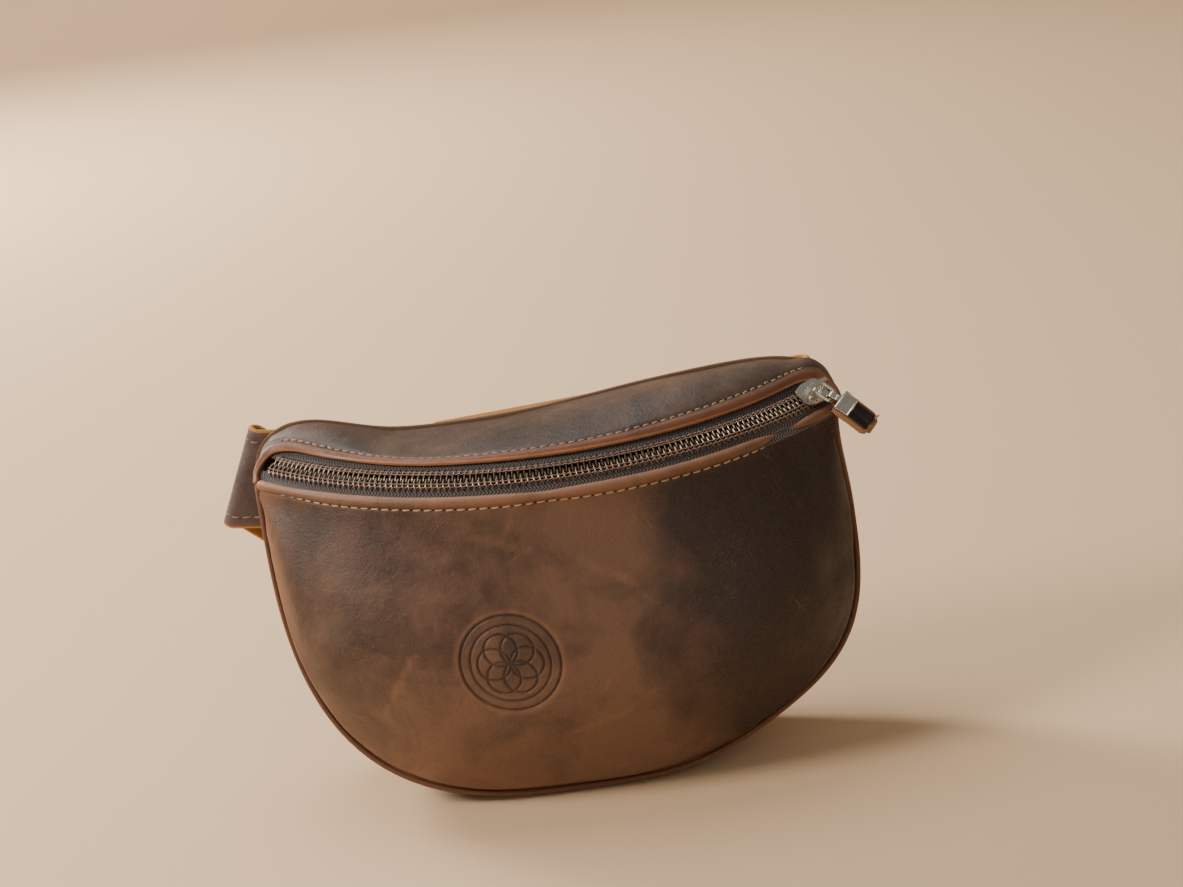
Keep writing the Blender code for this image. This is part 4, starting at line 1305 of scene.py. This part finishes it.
def make_left_belt():
    """The buckle end: wing, soft fold, run and the loop round the heel bar, in one strip."""
    fold, line, run, wing = left_axes()
    depth_wing = WING_FACE + STRAP_THICKNESS / 2
    depth_run = RUN_FACE + STRAP_THICKNESS / 2
    heel = np.array(JOINTS["buckle_swing"]["pos_m"])
    foot = fold * GROUND
    across_wing = np.cross(wing, Y_AXIS)
    outward = unit(np.cross(line, Y_AXIS))
    outward = outward * np.sign(outward @ wing)
    bend = (depth_run - depth_wing) / 2
    loop = 3.4 * MM

    def strip(offset):
        """One line of the strip, at a distance from its middle."""
        corner = foot + line * (offset / (across_wing @ line))
        back = (corner - foot) @ wing
        points = []
        for d in np.linspace(-38 * MM, back - 0.5 * MM, 12):
            points.append(foot + wing * d + across_wing * offset + Y_AXIS * depth_wing)
        for turn in np.radians(np.linspace(-90, 90, 13))[1:-1]:
            points.append(corner + outward * bend * 0.9 * math.cos(turn)
                          + Y_AXIS * (depth_wing + bend + bend * math.sin(turn)))
        shift = (corner - foot) @ run
        start = corner - run * shift
        for d in np.linspace(shift + 0.5 * MM, HEEL_BAR_ALONG - 2 * MM, 26):
            points.append(start + run * d + Y_AXIS * depth_run)
        for turn in np.radians(np.linspace(-80, 100, 14)):
            points.append(start + run * (HEEL_BAR_ALONG + loop * math.cos(turn))
                          + Y_AXIS * (heel[1] + loop * math.sin(turn)))
        for share_back in np.linspace(0.1, 1, 8):
            d = HEEL_BAR_ALONG - 15 * MM * share_back
            top = heel[1] + loop
            sink = top - (top - depth_run - 2.3 * MM) * share_back ** 0.7
            points.append(start + run * d + Y_AXIS * sink)
        return np.array(points)

    grid = outer_face(np.stack([strip(s * STRAP_HALF) for s in STRAP_SHARE], axis=1),
                      -Y_AXIS, (3, 8), STRAP_THICKNESS)
    strap = thick_sheet("left_belt_leather", grid, STRAP_THICKNESS, STRAP_FINISH,
                        wear=0.5 * bump(STRAP_EDGE, 0.8 * MM), tone_and_painted_shade=0.03)
    for piece in [strap] + strap_stitches("left_belt", grid[:50]):
        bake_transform(piece)
    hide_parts("left_wing", "left_strap")


def make_keeper():
    low, high = (np.array(corner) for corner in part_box("belt_keeper"))
    _, _, run, _ = left_axes()
    across = np.cross(run, Y_AXIS)
    centre = (low + high) / 2
    half_width = STRAP_WIDTH / 2 + 1.1 * MM
    half_depth = (high[1] - low[1]) / 2 - 0.8 * MM
    outline = rounded_outline(box_outline(half_width, half_depth), 2.4 * MM, 6)
    ring = np.array([centre + across * a + Y_AXIS * b for a, b in outline])
    ring = np.vstack([ring, ring[:1]])
    share = np.linspace(-1, 1, 9)
    middle = ring[:, None] + run * (share * 5.2 * MM)[None, :, None]
    grid = outer_face(middle, ring[3] - centre, (3, 4), 1.6 * MM)
    keeper = thick_sheet("keeper_leather", grid, 1.6 * MM, STRAP_FINISH,
                         wear=0.5 * bump(1 - np.abs(share), 0.15))
    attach(keeper, "keeper")
    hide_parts("belt_keeper")


def make_buckle():
    heel = np.array(JOINTS["buckle_swing"]["pos_m"])
    _, _, run, _ = left_axes()
    across = np.cross(run, Y_AXIS)
    middle = heel + run * BUCKLE_LENGTH / 2
    outline = rounded_outline(box_outline(BUCKLE_LENGTH / 2, BUCKLE_HALF_WIDTH), 3.2 * MM, 8)
    path = np.array([middle + run * a + across * b for a, b in outline])
    ring = metal_piece("buckle_ring", [tube_rings(path, 2.0 * MM, 18, closed=True)], ANTIQUE)
    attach(ring, "frame")
    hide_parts("buckle_frame")
    radius = 3.2
    turns = np.radians(np.linspace(380, 90, 26))
    curl = [(radius * math.cos(t), radius * math.sin(t)) for t in turns]
    tip = BUCKLE_LENGTH / MM
    profile = smooth_curve(curl + [(8, radius), (tip * 0.6, radius + 0.2), (tip, radius),
                                   (tip + 3, radius - 0.4)], 70) * MM
    path = [heel + run * a + Y_AXIS * b for a, b in profile]
    thick = np.interp(np.linspace(0, 1, 70), [0, 0.75, 0.93, 1], [0.8, 0.8, 0.75, 0.35]) * MM
    verts, faces = tube_rings(path, thick, 12)
    verts = verts + np.outer((verts - heel) @ across * 1.35, across)
    prong = metal_piece("prong_metal", [(verts, faces)], ANTIQUE)
    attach(prong, "prong")
    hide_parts("buckle_prong")


def make_right_belt():
    """The tip end, folded to and fro. Each fold is a piece of its own, baked in place."""
    joint = JOINTS["right_belt_unfold"]
    across = -unit(np.array(joint["axis"]))
    direction = np.cross(Y_AXIS, across)
    ground = joint["pos_m"] * GROUND
    depths = [WING_FACE + STRAP_THICKNESS / 2]
    depths += [RUN_FACE + STRAP_THICKNESS / 2 + k * RIGHT_RUN_PITCH for k in range(4)]
    half_run = RIGHT_RUN_LENGTH / 2

    def tip(grid):
        """A rounded point on the free end."""
        reach = (grid - ground) @ direction
        width = (grid - ground) @ across
        past = np.clip((reach + 15 * MM) / (15 * MM), 0, 1)
        narrow = np.sqrt(np.clip(1 - past ** 2.4, 0.01, 1))
        return grid + (width * (narrow - 1))[..., None] * across

    for k in range(4):
        right_end = k % 2 == 0
        turn_at = 0.0 if right_end else -RIGHT_RUN_LENGTH
        sign = 1 if right_end else -1
        first = 36 * MM if k == 0 else half_run
        near, far = depths[k], depths[k + 1]
        bend = (far - near) / 2
        round_by = min(bend, 2.2 * MM)
        turns = np.radians(np.linspace(-90, 90, 15))[1:-1]
        stops = [(turn_at - sign * d, near) for d in np.linspace(first, 0.4 * MM, 24)]
        stops += [(turn_at + sign * round_by * math.cos(t), near + bend + bend * math.sin(t))
                  for t in turns]
        stops += [(turn_at - sign * d, far) for d in np.linspace(0.4 * MM, half_run, 24)]
        last = k == 3
        if last:
            stops += [(turn_at - sign * d, far)
                      for d in np.linspace(half_run, RIGHT_RUN_LENGTH - 0.5 * MM, 40)[1:]]
        points = np.array([ground + direction * a + Y_AXIS * b for a, b in stops])
        replaced = ["right_wing", "right_strap_1"] if k == 0 else [f"right_strap_{k + 1}"]
        belt_piece(f"right_belt_fold_{k + 1}_leather", points, across,
                   replaced, end_cut=tip if last else None)


# ---------------------------------------------------------------- lining

def make_lining():
    """Cotton lining, a little loose against the leather."""
    grid = bulged_grid(np.linspace(0.93, -0.93, 120), np.linspace(0.03, 0.93, 60))
    x, z = grid[..., 0], grid[..., 2]
    ruffle = 0.25 * MM * np.sin(x * 90 + z * 40) * np.sin(z * 60)
    grid = slouch(grid)
    grid = grid - grid_normals(grid) * (5.6 * MM + ruffle[..., None])
    cloths = [("lining_front_cloth", grid, "lining_front")]
    grid = gusset_grid(np.linspace(0.92, -0.92, 140), np.linspace(0.2, 0.86, 20))
    grid = grid - grid_normals(grid) * 3.0 * MM
    cloths.append(("lining_gusset_cloth", grid, "lining_gusset"))
    grid = back_grid(9 * MM, 110, 60)
    grid[..., 2] = np.minimum(grid[..., 2], 124 * MM)
    grid[..., 1] = BACK_FACE - 0.5 * MM
    grid = grid[::-1]
    cloths.append(("lining_back_cloth", grid, "lining_back"))
    for name, grid, node in cloths:
        cloth = thick_sheet(name, grid, 0.7 * MM, (LINING, LINING, LINING), rim=2)
        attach(cloth, "pack")
        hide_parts(node)


make_camera()
make_stage()
make_front()
make_gusset()
make_back()
make_top()
make_zipper()
make_slider()
make_pull()
make_left_belt()
make_keeper()
make_buckle()
make_right_belt()
make_lining()
